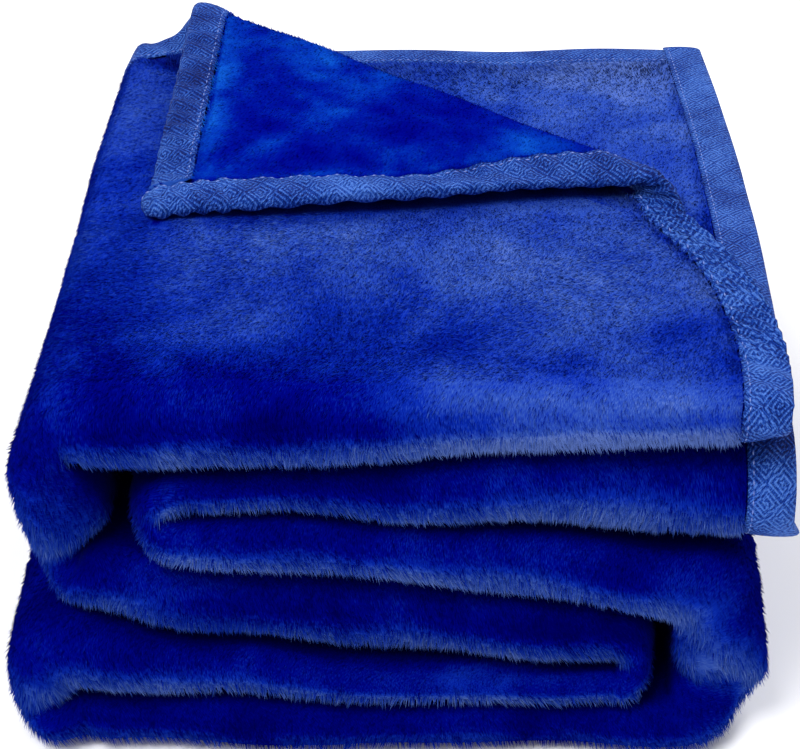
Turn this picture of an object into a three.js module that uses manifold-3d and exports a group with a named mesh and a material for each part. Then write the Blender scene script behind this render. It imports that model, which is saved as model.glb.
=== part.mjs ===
import * as THREE from 'three';
import Module from 'manifold-3d';

// Throw blanket of double-sided blue plush, bound with woven tape on all four edges.
// The flat cloth is 1270 wide and 1520 long. It is folded in four across its width, which gives
// a strip of four plies with its fold to the front, and the strip is laid in six passes.
// The free corner of the top ply is turned over towards the viewer.
// Millimetres, +Z up, X to the right, Y away from the viewer.

const CLOTH_WIDTH = 1270;
const PLIES = 4;
const PLY_THICKEST = 6.2;
const PLY_GAP = 1.0;
const PASS_GAP = 1.2;
const FOLD_ALLOWANCE = 54;
const FRONT = 3;
const FRONT_ROUND = 17;
const PLY_RUN = (CLOTH_WIDTH - FOLD_ALLOWANCE) / PLIES;
const BACK = FRONT + FRONT_ROUND + PLY_RUN;

// The front folds ease into the even rear part of the bundle between these depths.
const EASE_START = 15;
const EASE_LENGTH = 130;

// How far the outer front fold reaches past its centre: so many plies, and a little more.
const FRONT_FOLD_PLIES = 1.9;
const FRONT_FOLD_EXTRA = 3;
const FRONT_FOLD_STEPS = 6;
const SMALL_FOLD_STEPS = 4;

// Where each ply has its rows of points, as shares of its run, between one fold and the next and
// from a fold to a bound edge.
const SHARES_BETWEEN_FOLDS = [0, 0.3, 0.62, 1];
const SHARES_FROM_EDGE = [0.38, 0.7, 1];

// Slow waves of the front folds along each pass.
const FRONT_WAVES = [
  { height: 1.4, length: 23, shift: 2.1 },
  { height: 0.8, length: 11, shift: 1 },
];

// The woven tape is folded round the cloth's edge, which is pressed thin inside it.
const TAPE_WIDTH = 17;
const TAPE_WALL = 0.8;
const TAPE_CLEARANCE = 0.3;
const TAPE_NOSE = 2.2;
const PRESSED = TAPE_WALL + TAPE_CLEARANCE;
const PRESSED_WIDTH = TAPE_WIDTH + TAPE_CLEARANCE;
const FULL_FROM = PRESSED_WIDTH + 0.4;

// Heights of the lines where one pass lies on the next, at places across the bundle.
// The front lines are the ones that show. Further back the passes even out.
const ACROSS = [-118, -75, -6, 50, 105, 128];
const FRONT_LINES = {
  top: [144, 147, 147, 147, 147, 148],
  first: [111, 114, 117, 124, 126, 129],
  second: [103, 97, 92, 88, 77, 75],
  third: [83, 75, 69, 61, 49, 47],
  fourth: [55, 42, 34, 32, 34, 35],
  fifth: [22, 21, 20, 20, 21, 22],
  floor: [0, 0, 0, 0, 0, 0],
};
const BACK_LINES = {
  top: [144, 147, 147, 147, 147, 147],
  first: [117, 120, 122, 124, 125, 125],
  second: [102, 98, 98, 97, 94, 93],
  third: [82, 76, 73, 71, 66, 66],
  fourth: [56, 49, 46, 45, 45, 45],
  fifth: [26, 24, 23, 22, 22, 22],
  floor: [0, 0, 0, 0, 0, 0],
};

// One row for each pass, in the order in which the strip runs. The lines that it lies between
// come first. setBack moves its front fold in, edge places its bound edges, foldBack is how far
// its rear fold reaches past them, and steps counts the parts along it.
const PASS_COLUMNS = ['upper', 'lower', 'from', 'to', 'setBack', 'edge', 'foldBack', 'steps'];
const PASSES = tableOf(PASS_COLUMNS, [
  ['top', 'first', 125, -121, 0, -9, 6, 7],
  ['third', 'fourth', -113, 70, 3, -4, 6, 5],
  ['fourth', 'fifth', 70, -120, -3, -1, 5, 6],
  ['fifth', 'floor', -120, 90, -5, 1, 5, 6],
  ['second', 'third', 90, -80, 0, -6, 7, 6],
  ['first', 'second', -80, 130, 4, -9, 8, 7],
]);
const TOP_PASS = PASSES[0];

// One row for each turn between two passes: how far its outer face reaches at the front and at the
// rear, how far its inner face reaches, how square its first and second halves are, and the pucker
// that its inner side makes in the front, given by its place along the turn and its depth.
const TURN_COLUMNS = [
  'outer', 'rearOuter', 'inner', 'squareFirst', 'squareSecond', 'pucker', 'puckerDepth', 'steps',
];
const TURNS = tableOf(TURN_COLUMNS, [
  [-139.5, -136.5, -107, 2.4, 2.8, 0.72, 9, 8],
  [86, 86, 71, 2.1, 2.1, 0.5, 2, 6],
  [-148, -148, -121.2, 2.6, 3.0, 0.62, 6, 7],
  [125, 125, 92, 2.5, 3.4, 0.36, 9, 8],
  [-101, -101, -84, 2.0, 2.0, 0.5, 2, 6],
]);

// The turned-over corner: where its fold leaves the right edge and the back edge, where the
// corner itself lands, and the radius of the soft roll at each end of the fold.
const EDGE_SWEEP = 22;
const FLAP_START = new THREE.Vector2(TOP_PASS.from - EDGE_SWEEP, 143);
const FLAP_END = new THREE.Vector2(-119, BACK + TOP_PASS.edge);
const FLAP_CORNER = new THREE.Vector2(-105, 135);
const ROLL_START = 5.5;
const ROLL_END = 11.5;
const FLAP_BOW = 7;
const TAPE_PUFF = 0.8;
const FLAP_STEPS = 24;
const FLAP_EDGE_STEPS = 12;
const SWEEP_POWER = 2.2;

// The right ends of the top pass's plies bulge this far, in front of the turned-over corner on the
// top ply and between front and rear on the plies below it.
const END_BULGE = 5;

// The rear left corner of the stack sags, because the turns leave a hollow in it there: by this
// share of its height, from these places on, over these lengths.
const SAG_SHARE = 0.085;
const SAG_X = -122;
const SAG_ACROSS = 16;
const SAG_Y = 205;
const SAG_DEEP = 110;

// The corner's cloth starts this far inside the top ply and leaves it just past the fold's start.
// Its end rings are set this far in from the ends of the fold.
const FLAP_ROOT = 1.6;
const FLAP_LEAVES = 0.7;
const FLAP_END_INSET = 3;

const PLUSH_BLUE = new THREE.Color(0x0d22a8);
const TAPE_BLUE = new THREE.Color(0x2f46ad);

const wasm = await Module();
wasm.setup();

// A table's rows as objects with named columns.
function tableOf(columns, rows) {
  return rows.map((row) => Object.fromEntries(columns.map((name, i) => [name, row[i]])));
}

const mix = (a, b, t) => a + (b - a) * t;
const clamp01 = (t) => Math.min(1, Math.max(0, t));

function smooth(t) {
  const s = clamp01(t);
  return s * s * (3 - 2 * s);
}

// Height of a named line at x, eased between the places where it is given.
function lineHeight(lines, name, x) {
  const heights = lines[name];
  let k = 0;
  while (k < ACROSS.length - 2 && x > ACROSS[k + 1]) {
    k += 1;
  }
  const t = clamp01((x - ACROSS[k]) / (ACROSS[k + 1] - ACROSS[k]));
  return mix(heights[k], heights[k + 1], (smooth(t) + t) / 2);
}

// The two faces of the strip at x on one pass. The plus face is the side of the top ply.
function passFaces(lines, pass, x) {
  const upperGap = pass.upper === 'top' ? 0 : PASS_GAP / 2;
  const lowerGap = pass.lower === 'floor' ? 0 : PASS_GAP / 2;
  const upper = new THREE.Vector2(x, lineHeight(lines, pass.upper, x) - upperGap);
  const lower = new THREE.Vector2(x, lineHeight(lines, pass.lower, x) + lowerGap);
  return pass.to < pass.from ? { plus: upper, minus: lower } : { plus: lower, minus: upper };
}

// A point on the half loop that joins two points, one above the other, and bulges to reach.
function loopPoint(start, end, reach, turn, t) {
  const angle = Math.PI * t;
  const power = 2 / (t < 0.5 ? turn.squareFirst : turn.squareSecond);
  const middle = (start.y + end.y) / 2;
  const across = Math.pow(Math.sin(angle), power);
  const up = Math.sign(Math.cos(angle)) * Math.pow(Math.abs(Math.cos(angle)), power);
  return new THREE.Vector2(mix(start.x, reach, across), middle + (start.y - middle) * up);
}

function turnFaces(lines, place) {
  const pass = PASSES[place.k];
  const next = PASSES[place.k + 1];
  const first = passFaces(lines, pass, pass.to);
  const last = passFaces(lines, next, next.from);
  const plusIsOuter = Math.abs(first.plus.y - last.plus.y) > Math.abs(first.minus.y - last.minus.y);
  const outer = lines === BACK_LINES ? place.turn.rearOuter : place.turn.outer;
  const plusReach = plusIsOuter ? outer : place.turn.inner;
  const minusReach = plusIsOuter ? place.turn.inner : outer;
  return {
    plus: loopPoint(first.plus, last.plus, plusReach, place.turn, place.t),
    minus: loopPoint(first.minus, last.minus, minusReach, place.turn, place.t),
  };
}

function facesAt(lines, place) {
  return place.turn ? turnFaces(lines, place) : passFaces(lines, PASSES[place.k], place.x);
}

// Where the stations stand along the strip: on a pass at x, or on a turn at t.
// Each bound end has two more stations, for the cloth's pressed edge inside the tape, and so has
// the left end of the turned-over corner's fold.
function listPlaces() {
  const places = [];
  const boundEnd = (k, end, way) => [
    { k, x: end - way * TAPE_NOSE, pressed: true },
    { k, x: end - way * PRESSED_WIDTH, pressed: true },
  ];
  PASSES.forEach((pass, k) => {
    const way = Math.sign(pass.to - pass.from);
    const first = k === 0;
    const last = k === PASSES.length - 1;
    const from = first ? pass.from + way * FULL_FROM : pass.from;
    const to = last ? pass.to - way * FULL_FROM : pass.to;
    if (first) {
      places.push(...boundEnd(k, pass.from, -way));
    }
    for (let i = 0; i < pass.steps; i += 1) {
      places.push({ k, x: mix(from, to, i / pass.steps) });
    }
    if (first) {
      places.push({ k, x: FLAP_END.x + FULL_FROM });
      places.push({ k, x: FLAP_END.x + PRESSED_WIDTH, pressedEnd: true });
    }
    places.push({ k, x: to });
    if (last) {
      places.push(...boundEnd(k, pass.to, way).reverse());
    } else {
      const turn = TURNS[k];
      for (let i = 1; i < turn.steps; i += 1) {
        places.push({ k, turn, t: i / turn.steps });
      }
    }
  });
  return places;
}

// A value from the pass table, eased from one pass to the next through a turn.
function eased(place, name) {
  const here = PASSES[place.k][name];
  return place.turn ? mix(here, PASSES[place.k + 1][name], smooth(place.t)) : here;
}

function pucker(place) {
  if (!place.turn) {
    return 0;
  }
  const off = (place.t - place.turn.pucker) * place.turn.steps;
  return place.turn.puckerDepth * Math.exp(-off * off * 1.2);
}

function frontWave(place) {
  const x = place.turn ? PASSES[place.k].to : place.x;
  return FRONT_WAVES.reduce((sum, wave) => {
    return sum + wave.height * Math.sin(x / wave.length + place.k * wave.shift);
  }, 0);
}

function makeStation(place) {
  const edgeY = BACK + eased(place, 'edge');
  return {
    place,
    front: facesAt(FRONT_LINES, place),
    back: facesAt(BACK_LINES, place),
    frontY: FRONT + eased(place, 'setBack') + pucker(place) + frontWave(place),
    edgeY,
    foldY: edgeY + eased(place, 'foldBack'),
  };
}

// A point of the strip at depth y and level, which runs from -2 to 2, counted in plies.
function evenPoint(station, y, level) {
  const t = smooth((y - EASE_START) / EASE_LENGTH);
  const share = (level + PLIES / 2) / PLIES;
  const front = station.front.minus.clone().lerp(station.front.plus, share);
  const back = station.back.minus.clone().lerp(station.back.plus, share);
  const point = front.lerp(back, t);
  return new THREE.Vector3(point.x, y, point.y);
}

// How far the right end of the top pass is drawn in to the left, deeper into the bundle. Its top
// ply is drawn in towards the turned-over corner, and all its plies bulge out a little.
function drawnIn(place, y, level) {
  if (place.k > 0 || place.turn) {
    return 0;
  }
  const depth = clamp01(y / (level > 1 ? FLAP_START.y : BACK));
  const drawn = level > 1 ? EDGE_SWEEP * Math.pow(depth, SWEEP_POWER) : 0;
  const along = (place.x - TOP_PASS.to) / (TOP_PASS.from - FULL_FROM - TOP_PASS.to);
  return (drawn - END_BULGE * Math.sin(Math.PI * depth)) * smooth(along);
}

function stripPoint(station, y, level) {
  const point = evenPoint(station, y, level);
  point.x -= drawnIn(station.place, y, level);
  return point;
}

// Distance from one ply to the next at depth y.
function pitchAt(station, y) {
  const half = PLIES / 2;
  return evenPoint(station, y, half).distanceTo(evenPoint(station, y, -half)) / PLIES;
}

// Direction across the strip, from the minus face to the plus face.
function acrossAt(station, y) {
  const half = PLIES / 2;
  return evenPoint(station, y, half).sub(evenPoint(station, y, -half)).normalize();
}

function plyThickness(pitch) {
  return Math.min(pitch - PLY_GAP, PLY_THICKEST);
}

// The fold of the turned-over corner crosses each station of the top pass at this depth.
function turnedOver(place) {
  return place.k === 0 && !place.turn && place.x > FLAP_END.x;
}

function topPlyEnd(station) {
  if (!turnedOver(station.place)) {
    return station.edgeY;
  }
  let y = FLAP_START.y;
  for (let i = 0; i < 20; i += 1) {
    const x = stripPoint(station, y, 1.5).x;
    y = mix(FLAP_START.y, FLAP_END.y, (x - FLAP_START.x) / (FLAP_END.x - FLAP_START.x));
  }
  return y;
}

// The middle line of the cloth at one station, from the edge of the top ply, round the front to
// the bottom ply, round the rear fold, and through the inner fold to the edge of the second ply.
// Each point has its depth, its level and the direction out of the cloth in depth and height.
function middleLine(station) {
  const points = [];
  const pitch = pitchAt(station, station.frontY);
  const backPitch = pitchAt(station, station.foldY);
  const thick = plyThickness(pitch);
  const round = FRONT_FOLD_PLIES * pitch + FRONT_FOLD_EXTRA;
  const frontCentre = station.frontY + round;
  const backCentre = station.foldY - backPitch;
  const topEnd = topPlyEnd(station);
  const topBound = !turnedOver(station.place);
  const edgePressed = topBound || station.place.pressedEnd;

  const ply = (depth, level, face, pressed = false) => {
    points.push({ y: depth, level, outY: 0, outZ: face, pressed });
  };
  const fold = (centre, reach, half, middle, steps, way, rising, face, localPitch) => {
    for (let i = 1; i < steps; i += 1) {
      const angle = rising * (Math.PI * (i / steps) - Math.PI / 2);
      const outY = (way * Math.cos(angle)) / reach;
      const outZ = Math.sin(angle) / (half * localPitch);
      const length = Math.hypot(outY, outZ);
      points.push({
        y: centre + way * Math.cos(angle) * reach,
        level: middle + Math.sin(angle) * half,
        outY: (face * outY) / length,
        outZ: (face * outZ) / length,
        pressed: false,
      });
    }
  };

  ply(topEnd - (topBound ? TAPE_NOSE : 0), 1.5, 1, edgePressed);
  ply(topEnd - PRESSED_WIDTH, 1.5, 1, edgePressed);
  [FULL_FROM / (topEnd - frontCentre), ...SHARES_FROM_EDGE].forEach((share) => {
    ply(mix(topEnd, frontCentre, share), 1.5, 1);
  });
  fold(frontCentre, round - thick / 2, 1.5, 0, FRONT_FOLD_STEPS, -1, -1, 1, pitch);
  SHARES_BETWEEN_FOLDS.forEach((share) => ply(mix(frontCentre, backCentre, share), -1.5, -1));
  fold(backCentre, backPitch / 2, 0.5, -1, SMALL_FOLD_STEPS, 1, 1, 1, backPitch);
  SHARES_BETWEEN_FOLDS.toReversed().forEach((share) => {
    ply(mix(frontCentre, backCentre, share), -0.5, 1);
  });
  fold(frontCentre, pitch / 2, 0.5, 0, SMALL_FOLD_STEPS, -1, 1, -1, pitch);
  const edge = station.edgeY;
  [...SHARES_FROM_EDGE.toReversed(), FULL_FROM / (edge - frontCentre)].forEach((share) => {
    ply(mix(edge, frontCentre, share), 0.5, -1);
  });
  ply(edge - PRESSED_WIDTH, 0.5, -1, true);
  ply(edge - TAPE_NOSE, 0.5, -1, true);
  return points;
}

// Half the thickness of the cloth at a point of the middle line.
function halfThickness(station, point) {
  const pressed = point.pressed || station.place.pressed;
  return plyThickness(pitchAt(station, point.y)) / 2 - (pressed ? PRESSED : 0);
}

// A point off the middle line, by a distance out of the cloth's face.
function offPoint(station, point, distance) {
  const level = point.level + (point.outZ * distance) / pitchAt(station, point.y);
  return stripPoint(station, point.y + point.outY * distance, level);
}

function outwardAt(station, point) {
  return offPoint(station, point, 1).sub(offPoint(station, point, -1)).normalize();
}

function clothRing(station) {
  const line = middleLine(station);
  const faces = [];
  const backs = [];
  line.forEach((point) => {
    const half = halfThickness(station, point);
    faces.push(offPoint(station, point, half));
    backs.push(offPoint(station, point, -half));
  });
  return faces.concat(backs.reverse());
}

// The sag of the rear left corner, which lowers every layer there by the same share.
function sagged(p) {
  const across = smooth((SAG_X - p.x) / SAG_ACROSS);
  const deep = smooth((p.y - SAG_Y) / SAG_DEEP);
  return [p.x, p.y, p.z * (1 - SAG_SHARE * across * deep)];
}

// A closed solid through rings of points. Each ring runs along one side of the cloth and back
// along the other, so that its two sides pair up and the end rings fill with plain quads.
function solidThrough(rings) {
  const count = rings[0].length;
  const lastStart = (rings.length - 1) * count;
  const positions = rings.flatMap((ring) => ring.flatMap(sagged));
  const index = [];
  for (let start = 0; start < lastStart; start += count) {
    for (let j = 0; j < count; j += 1) {
      const a = start + j;
      const b = start + ((j + 1) % count);
      index.push(a, b, b + count, a, b + count, a + count);
    }
  }
  for (let a = 0; a < count / 2 - 1; a += 1) {
    const b = a + 1;
    const c = count - 1 - b;
    const d = count - 1 - a;
    index.push(a, c, b, a, d, c);
    index.push(lastStart + a, lastStart + b, lastStart + c);
    index.push(lastStart + a, lastStart + c, lastStart + d);
  }
  return outwardFacing(positions, index);
}

function outwardFacing(positions, index) {
  let volume = 0;
  const corner = (i) => new THREE.Vector3().fromArray(positions, 3 * index[i]);
  for (let i = 0; i < index.length; i += 3) {
    volume += corner(i).dot(corner(i + 1).cross(corner(i + 2)));
  }
  const order = [];
  for (let i = 0; i < index.length; i += 3) {
    const flip = volume < 0;
    order.push(index[i], index[i + (flip ? 2 : 1)], index[i + (flip ? 1 : 2)]);
  }
  const geometry = new THREE.BufferGeometry();
  geometry.setAttribute('position', new THREE.Float32BufferAttribute(positions, 3));
  geometry.setIndex(order);
  return geometry;
}

function toManifold(geometry) {
  return new wasm.Manifold(new wasm.Mesh({
    numProp: 3,
    vertProperties: geometry.attributes.position.array,
    triVerts: Uint32Array.from(geometry.index.array),
  }));
}

function fromManifold(solid) {
  const mesh = solid.getMesh();
  const geometry = new THREE.BufferGeometry();
  geometry.setAttribute('position', new THREE.Float32BufferAttribute(mesh.vertProperties, 3));
  geometry.setIndex(Array.from(mesh.triVerts));
  return geometry;
}

const stations = listPlaces().map(makeStation);
const topStations = stations.filter((station) => station.place.k === 0 && !station.place.turn);

// The turned-over corner as flat cloth: b runs along its fold from the right edge to the back
// edge, and a runs off the fold. Its outline is a triangle with the corner at (cornerA, cornerB).
const flapWay = FLAP_END.clone().sub(FLAP_START).normalize();
const flapOut = new THREE.Vector2(flapWay.y, -flapWay.x);
const flapLength = FLAP_START.distanceTo(FLAP_END);
const cornerOff = FLAP_CORNER.clone().sub(FLAP_START);
const cornerB = cornerOff.dot(flapWay);
const cornerA = Math.PI * rollRadius(cornerB) - cornerOff.dot(flapOut);
const rightSide = Math.hypot(cornerA, cornerB);
const backSide = Math.hypot(cornerA, flapLength - cornerB);
const topPitch = pitchAt(topStations[5], BACK);
const flapHalf = plyThickness(topPitch) / 2 - 0.1;

function rollRadius(b) {
  return mix(ROLL_START, ROLL_END, clamp01(b / flapLength));
}

// Height of the middle of the top ply at a place in plan.
function topPlyHeight(x, y) {
  const across = topStations.map((station) => stripPoint(station, y, 1.5));
  let k = 0;
  while (k < across.length - 2 && x < across[k + 1].x) {
    k += 1;
  }
  const t = clamp01((x - across[k].x) / (across[k + 1].x - across[k].x));
  return mix(across[k].z, across[k + 1].z, t);
}

// Where the flat point (a, b) of the corner lies: on the top ply, round the soft roll at the
// fold, or on the turned-over part, which settles onto the ply below it.
function flapPoint(a, b) {
  const radius = rollRadius(b);
  const rollEnd = Math.PI * radius;
  let off = a;
  let rise = 0;
  if (a > rollEnd) {
    const t = (a - rollEnd) / (cornerA - rollEnd);
    off = rollEnd - a - FLAP_BOW * Math.sin(Math.PI * clamp01(b / cornerB)) * smooth(2 * t);
    rise = mix(2 * radius, topPitch + 0.4, t);
  } else if (a > 0) {
    off = radius * Math.sin(a / radius);
    rise = radius * (1 - Math.cos(a / radius));
  }
  const x = FLAP_START.x + flapWay.x * b + flapOut.x * off;
  const y = FLAP_START.y + flapWay.y * b + flapOut.y * off;
  return new THREE.Vector3(x, y, topPlyHeight(x, y) + rise);
}

// Direction out of the face that is uppermost on the top ply, and underneath once turned over.
function flapNormal(a, b) {
  const alongA = flapPoint(a + 0.4, b).sub(flapPoint(a - 0.4, b));
  const alongB = flapPoint(a, b + 0.4).sub(flapPoint(a, b - 0.4));
  return alongA.cross(alongB).normalize();
}

// Flat distance from (a, b) to the nearer of the corner's two bound edges.
function flapEdgeDistance(a, b) {
  const toRight = (b * cornerA - a * cornerB) / rightSide;
  const toBack = ((flapLength - b) * cornerA - a * (flapLength - cornerB)) / backSide;
  return Math.min(toRight, toBack);
}

// How far out along a the cloth stays clear of both edges by the given distance.
function flapInset(b, distance) {
  const right = (b * cornerA - distance * rightSide) / cornerB;
  const back = ((flapLength - b) * cornerA - distance * backSide) / (flapLength - cornerB);
  return Math.min(right, back);
}

function flapRing(b) {
  const end = Math.max(flapInset(b, TAPE_NOSE), 1.5);
  const fullTo = Math.max(flapInset(b, FULL_FROM), 0.05 * end);
  const pressedFrom = Math.max(flapInset(b, PRESSED_WIDTH), fullTo + 0.1);
  const rollEnd = Math.min(Math.PI * rollRadius(b), fullTo * 0.8);
  const offsets = [-FLAP_ROOT, Math.min(FLAP_LEAVES, 0.1 * rollEnd)];
  [0.2, 0.4, 0.6, 0.8, 1].forEach((share) => offsets.push(rollEnd * share));
  offsets.push(mix(rollEnd, fullTo, 0.5), fullTo);
  [0, 0.33, 0.66, 1].forEach((share) => offsets.push(mix(pressedFrom, end, share)));
  const faces = [];
  const backs = [];
  offsets.forEach((a) => {
    const pressed = flapEdgeDistance(a, b) < FULL_FROM - 0.01;
    const half = flapHalf - (pressed ? PRESSED + 0.3 : 0);
    const normal = flapNormal(Math.max(a, 0.41), b);
    const middle = flapPoint(a, b);
    const straight = a <= 0 ? new THREE.Vector3(0, 0, 1) : normal;
    faces.push(middle.clone().addScaledVector(straight, half));
    backs.push(middle.clone().addScaledVector(straight, -half));
  });
  return faces.concat(backs.reverse());
}

function makeFlap() {
  const rings = [];
  for (let i = 0; i <= FLAP_STEPS; i += 1) {
    const share = smooth(i / FLAP_STEPS);
    rings.push(flapRing(mix(FLAP_END_INSET, flapLength - FLAP_END_INSET, share)));
  }
  return solidThrough(rings);
}

// The strip and its turned-over corner are one piece of cloth.
function makeCloth() {
  const strip = toManifold(solidThrough(stations.map(clothRing)));
  return fromManifold(strip.add(toManifold(makeFlap())));
}

// One section of woven tape. It lies on both faces of the cloth and round its edge. The spine
// holds three points of the cloth's middle, from the edge inwards, each with the way out of the
// cloth's face and half the thickness of the bound edge there.
function tapeRing([rim, middle, inner]) {
  const at = (point, side, wall) => {
    const distance = side * (point.half - wall);
    return point.position.clone().addScaledVector(point.out, distance);
  };
  const nearRim = (mm) => ({
    ...rim,
    position: rim.position.clone().lerp(middle.position, mm / (TAPE_WIDTH / 2)),
  });
  const shoulder = nearRim(1.2);
  const nose = nearRim(TAPE_NOSE - TAPE_CLEARANCE);
  return [
    at(inner, 1, 0), at(middle, 1, 0), at(shoulder, 1, 0),
    rim.position.clone(),
    at(shoulder, -1, 0), at(middle, -1, 0), at(inner, -1, 0),
    at(inner, -1, TAPE_WALL), at(middle, -1, TAPE_WALL), at(nose, -1, TAPE_WALL),
    nose.position.clone(),
    at(nose, 1, TAPE_WALL), at(middle, 1, TAPE_WALL), at(inner, 1, TAPE_WALL),
  ];
}

function makeTape(sections) {
  return solidThrough(sections.map(tapeRing));
}

const ACROSS_TAPE = [0, TAPE_WIDTH / 2, TAPE_WIDTH];

// Tape on the long edge of the top ply or the second ply, at one station.
function longEdgeSection(station, level) {
  return ACROSS_TAPE.map((inset) => {
    const y = station.edgeY - inset;
    return {
      position: stripPoint(station, y, level),
      out: acrossAt(station, y),
      half: plyThickness(pitchAt(station, y)) / 2,
    };
  });
}

// Tape on a bound end of the strip, at one point of the middle line. It runs from the outermost
// station to the first one that is clear of the tape.
function endSection(ends, index, beyond = 0) {
  const [outer, inner] = ends.map((station) => {
    const point = { ...middleLine(station)[index] };
    point.y += beyond;
    return {
      position: offPoint(station, point, 0),
      out: outwardAt(station, point),
      half: plyThickness(pitchAt(station, point.y)) / 2,
    };
  });
  return ACROSS_TAPE.map((mm) => {
    const t = (mm - TAPE_NOSE) / (FULL_FROM - TAPE_NOSE);
    return {
      position: outer.position.clone().lerp(inner.position, t),
      out: outer.out.clone().lerp(inner.out, clamp01(t)).normalize(),
      half: mix(outer.half, inner.half, t),
    };
  });
}

// Tape on the turned-over corner, at a flat point of its edge, with the flat way inwards.
function flapSection(a, b, inA, inB) {
  return ACROSS_TAPE.map((mm) => ({
    position: flapPoint(a + inA * mm, b + inB * mm),
    out: flapNormal(a + inA * mm, b + inB * mm),
    half: flapHalf + TAPE_PUFF,
  }));
}

function rightFlapEdge() {
  const sections = [];
  for (let i = 0; i <= FLAP_EDGE_STEPS; i += 1) {
    const t = Math.pow(1 - i / FLAP_EDGE_STEPS, 1.7);
    sections.push(flapSection(cornerA * t, cornerB * t, -cornerB / rightSide, cornerA / rightSide));
  }
  return sections;
}

// The tape on the back edge starts beside the other tape, cut along it as a mitre would be.
function backFlapEdge() {
  const sections = [];
  const inwards = new THREE.Vector2(cornerB - flapLength, -cornerA).divideScalar(backSide);
  const alongOther = new THREE.Vector2(-cornerA, -cornerB).divideScalar(rightSide);
  alongOther.divideScalar(alongOther.dot(inwards));
  const start = (TAPE_WIDTH + 2.5) / backSide;
  for (let i = 0; i <= FLAP_EDGE_STEPS; i += 1) {
    const t = (1 - start) * Math.pow(1 - i / FLAP_EDGE_STEPS, 1.4);
    const way = inwards.clone().lerp(alongOther, Math.max(0, 1 - i / 2));
    sections.push(flapSection(cornerA * t, mix(flapLength, cornerB, t), way.x, way.y));
  }
  return sections;
}

const lineCount = middleLine(stations[0]).length;

function firstEndSections() {
  const ends = [stations[0], stations[2]];
  const sections = rightFlapEdge();
  for (let index = 3; index < lineCount; index += 1) {
    sections.push(endSection(ends, index));
  }
  sections.push(endSection(ends, lineCount - 1, TAPE_NOSE));
  return sections;
}

function lastEndSections() {
  const ends = [stations[stations.length - 1], stations[stations.length - 3]];
  const sections = [endSection(ends, 0, TAPE_NOSE)];
  for (let index = 0; index < lineCount; index += 1) {
    sections.push(endSection(ends, index));
  }
  sections.push(endSection(ends, lineCount - 1, TAPE_NOSE));
  return sections;
}

// Stations that a long tape follows, stopping short of the tapes on the bound ends.
function longTapeStations() {
  const clear = TAPE_WIDTH + TAPE_CLEARANCE;
  const lastPass = PASSES.length - 1;
  const first = makeStation({ k: 0, x: TOP_PASS.from - clear });
  const last = makeStation({ k: lastPass, x: PASSES[lastPass].to - clear });
  return [first, ...stations.slice(3, -3), last];
}

function topPlySections() {
  const behind = longTapeStations().filter((station) => !turnedOver(station.place));
  const sections = behind.map((station) => longEdgeSection(station, 1.5));
  return [...backFlapEdge(), ...sections];
}

function secondPlySections() {
  return longTapeStations().map((station) => longEdgeSection(station, 0.5));
}

const plush = new THREE.MeshStandardMaterial({ color: PLUSH_BLUE, roughness: 0.95, metalness: 0 });
const tape = new THREE.MeshStandardMaterial({ color: TAPE_BLUE, roughness: 0.6, metalness: 0 });

function addPiece(group, name, geometry, material) {
  const mesh = new THREE.Mesh(geometry, material.clone());
  mesh.name = name;
  mesh.geometry.computeVertexNormals();
  group.add(mesh);
}

const blanket = new THREE.Group();
blanket.name = 'throw_blanket';
addPiece(blanket, 'plush_cloth', makeCloth(), plush);
addPiece(blanket, 'binding_first_end', makeTape(firstEndSections()), tape);
addPiece(blanket, 'binding_last_end', makeTape(lastEndSections()), tape);
addPiece(blanket, 'binding_top_ply_side', makeTape(topPlySections()), tape);
addPiece(blanket, 'binding_second_ply_side', makeTape(secondPlySections()), tape);

// The origin is the middle of the underside.
const box = new THREE.Box3().setFromObject(blanket);
const centre = box.getCenter(new THREE.Vector3());
blanket.children.forEach((mesh) => {
  mesh.position.set(-centre.x, -centre.y, -box.min.z);
});

export default blanket;
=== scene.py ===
# %% [markdown]
# # A folded plush throw blanket
#
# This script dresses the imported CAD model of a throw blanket: double-sided blue plush, bound with
# woven tape, folded into a soft bundle with one corner of its top ply turned over.
# The CAD solids fix the size, the folds and what the bundle rests on. The script lays the same
# folds out again with many more points, then adds what cloth needs: creases, pile, weave and
# stitches. All the folding is worked out in millimetres and turned to metres at the end.

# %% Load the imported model
import math

import bmesh
import bpy
import numpy as np
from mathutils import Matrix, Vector
from mathutils.bvhtree import BVHTree


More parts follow.
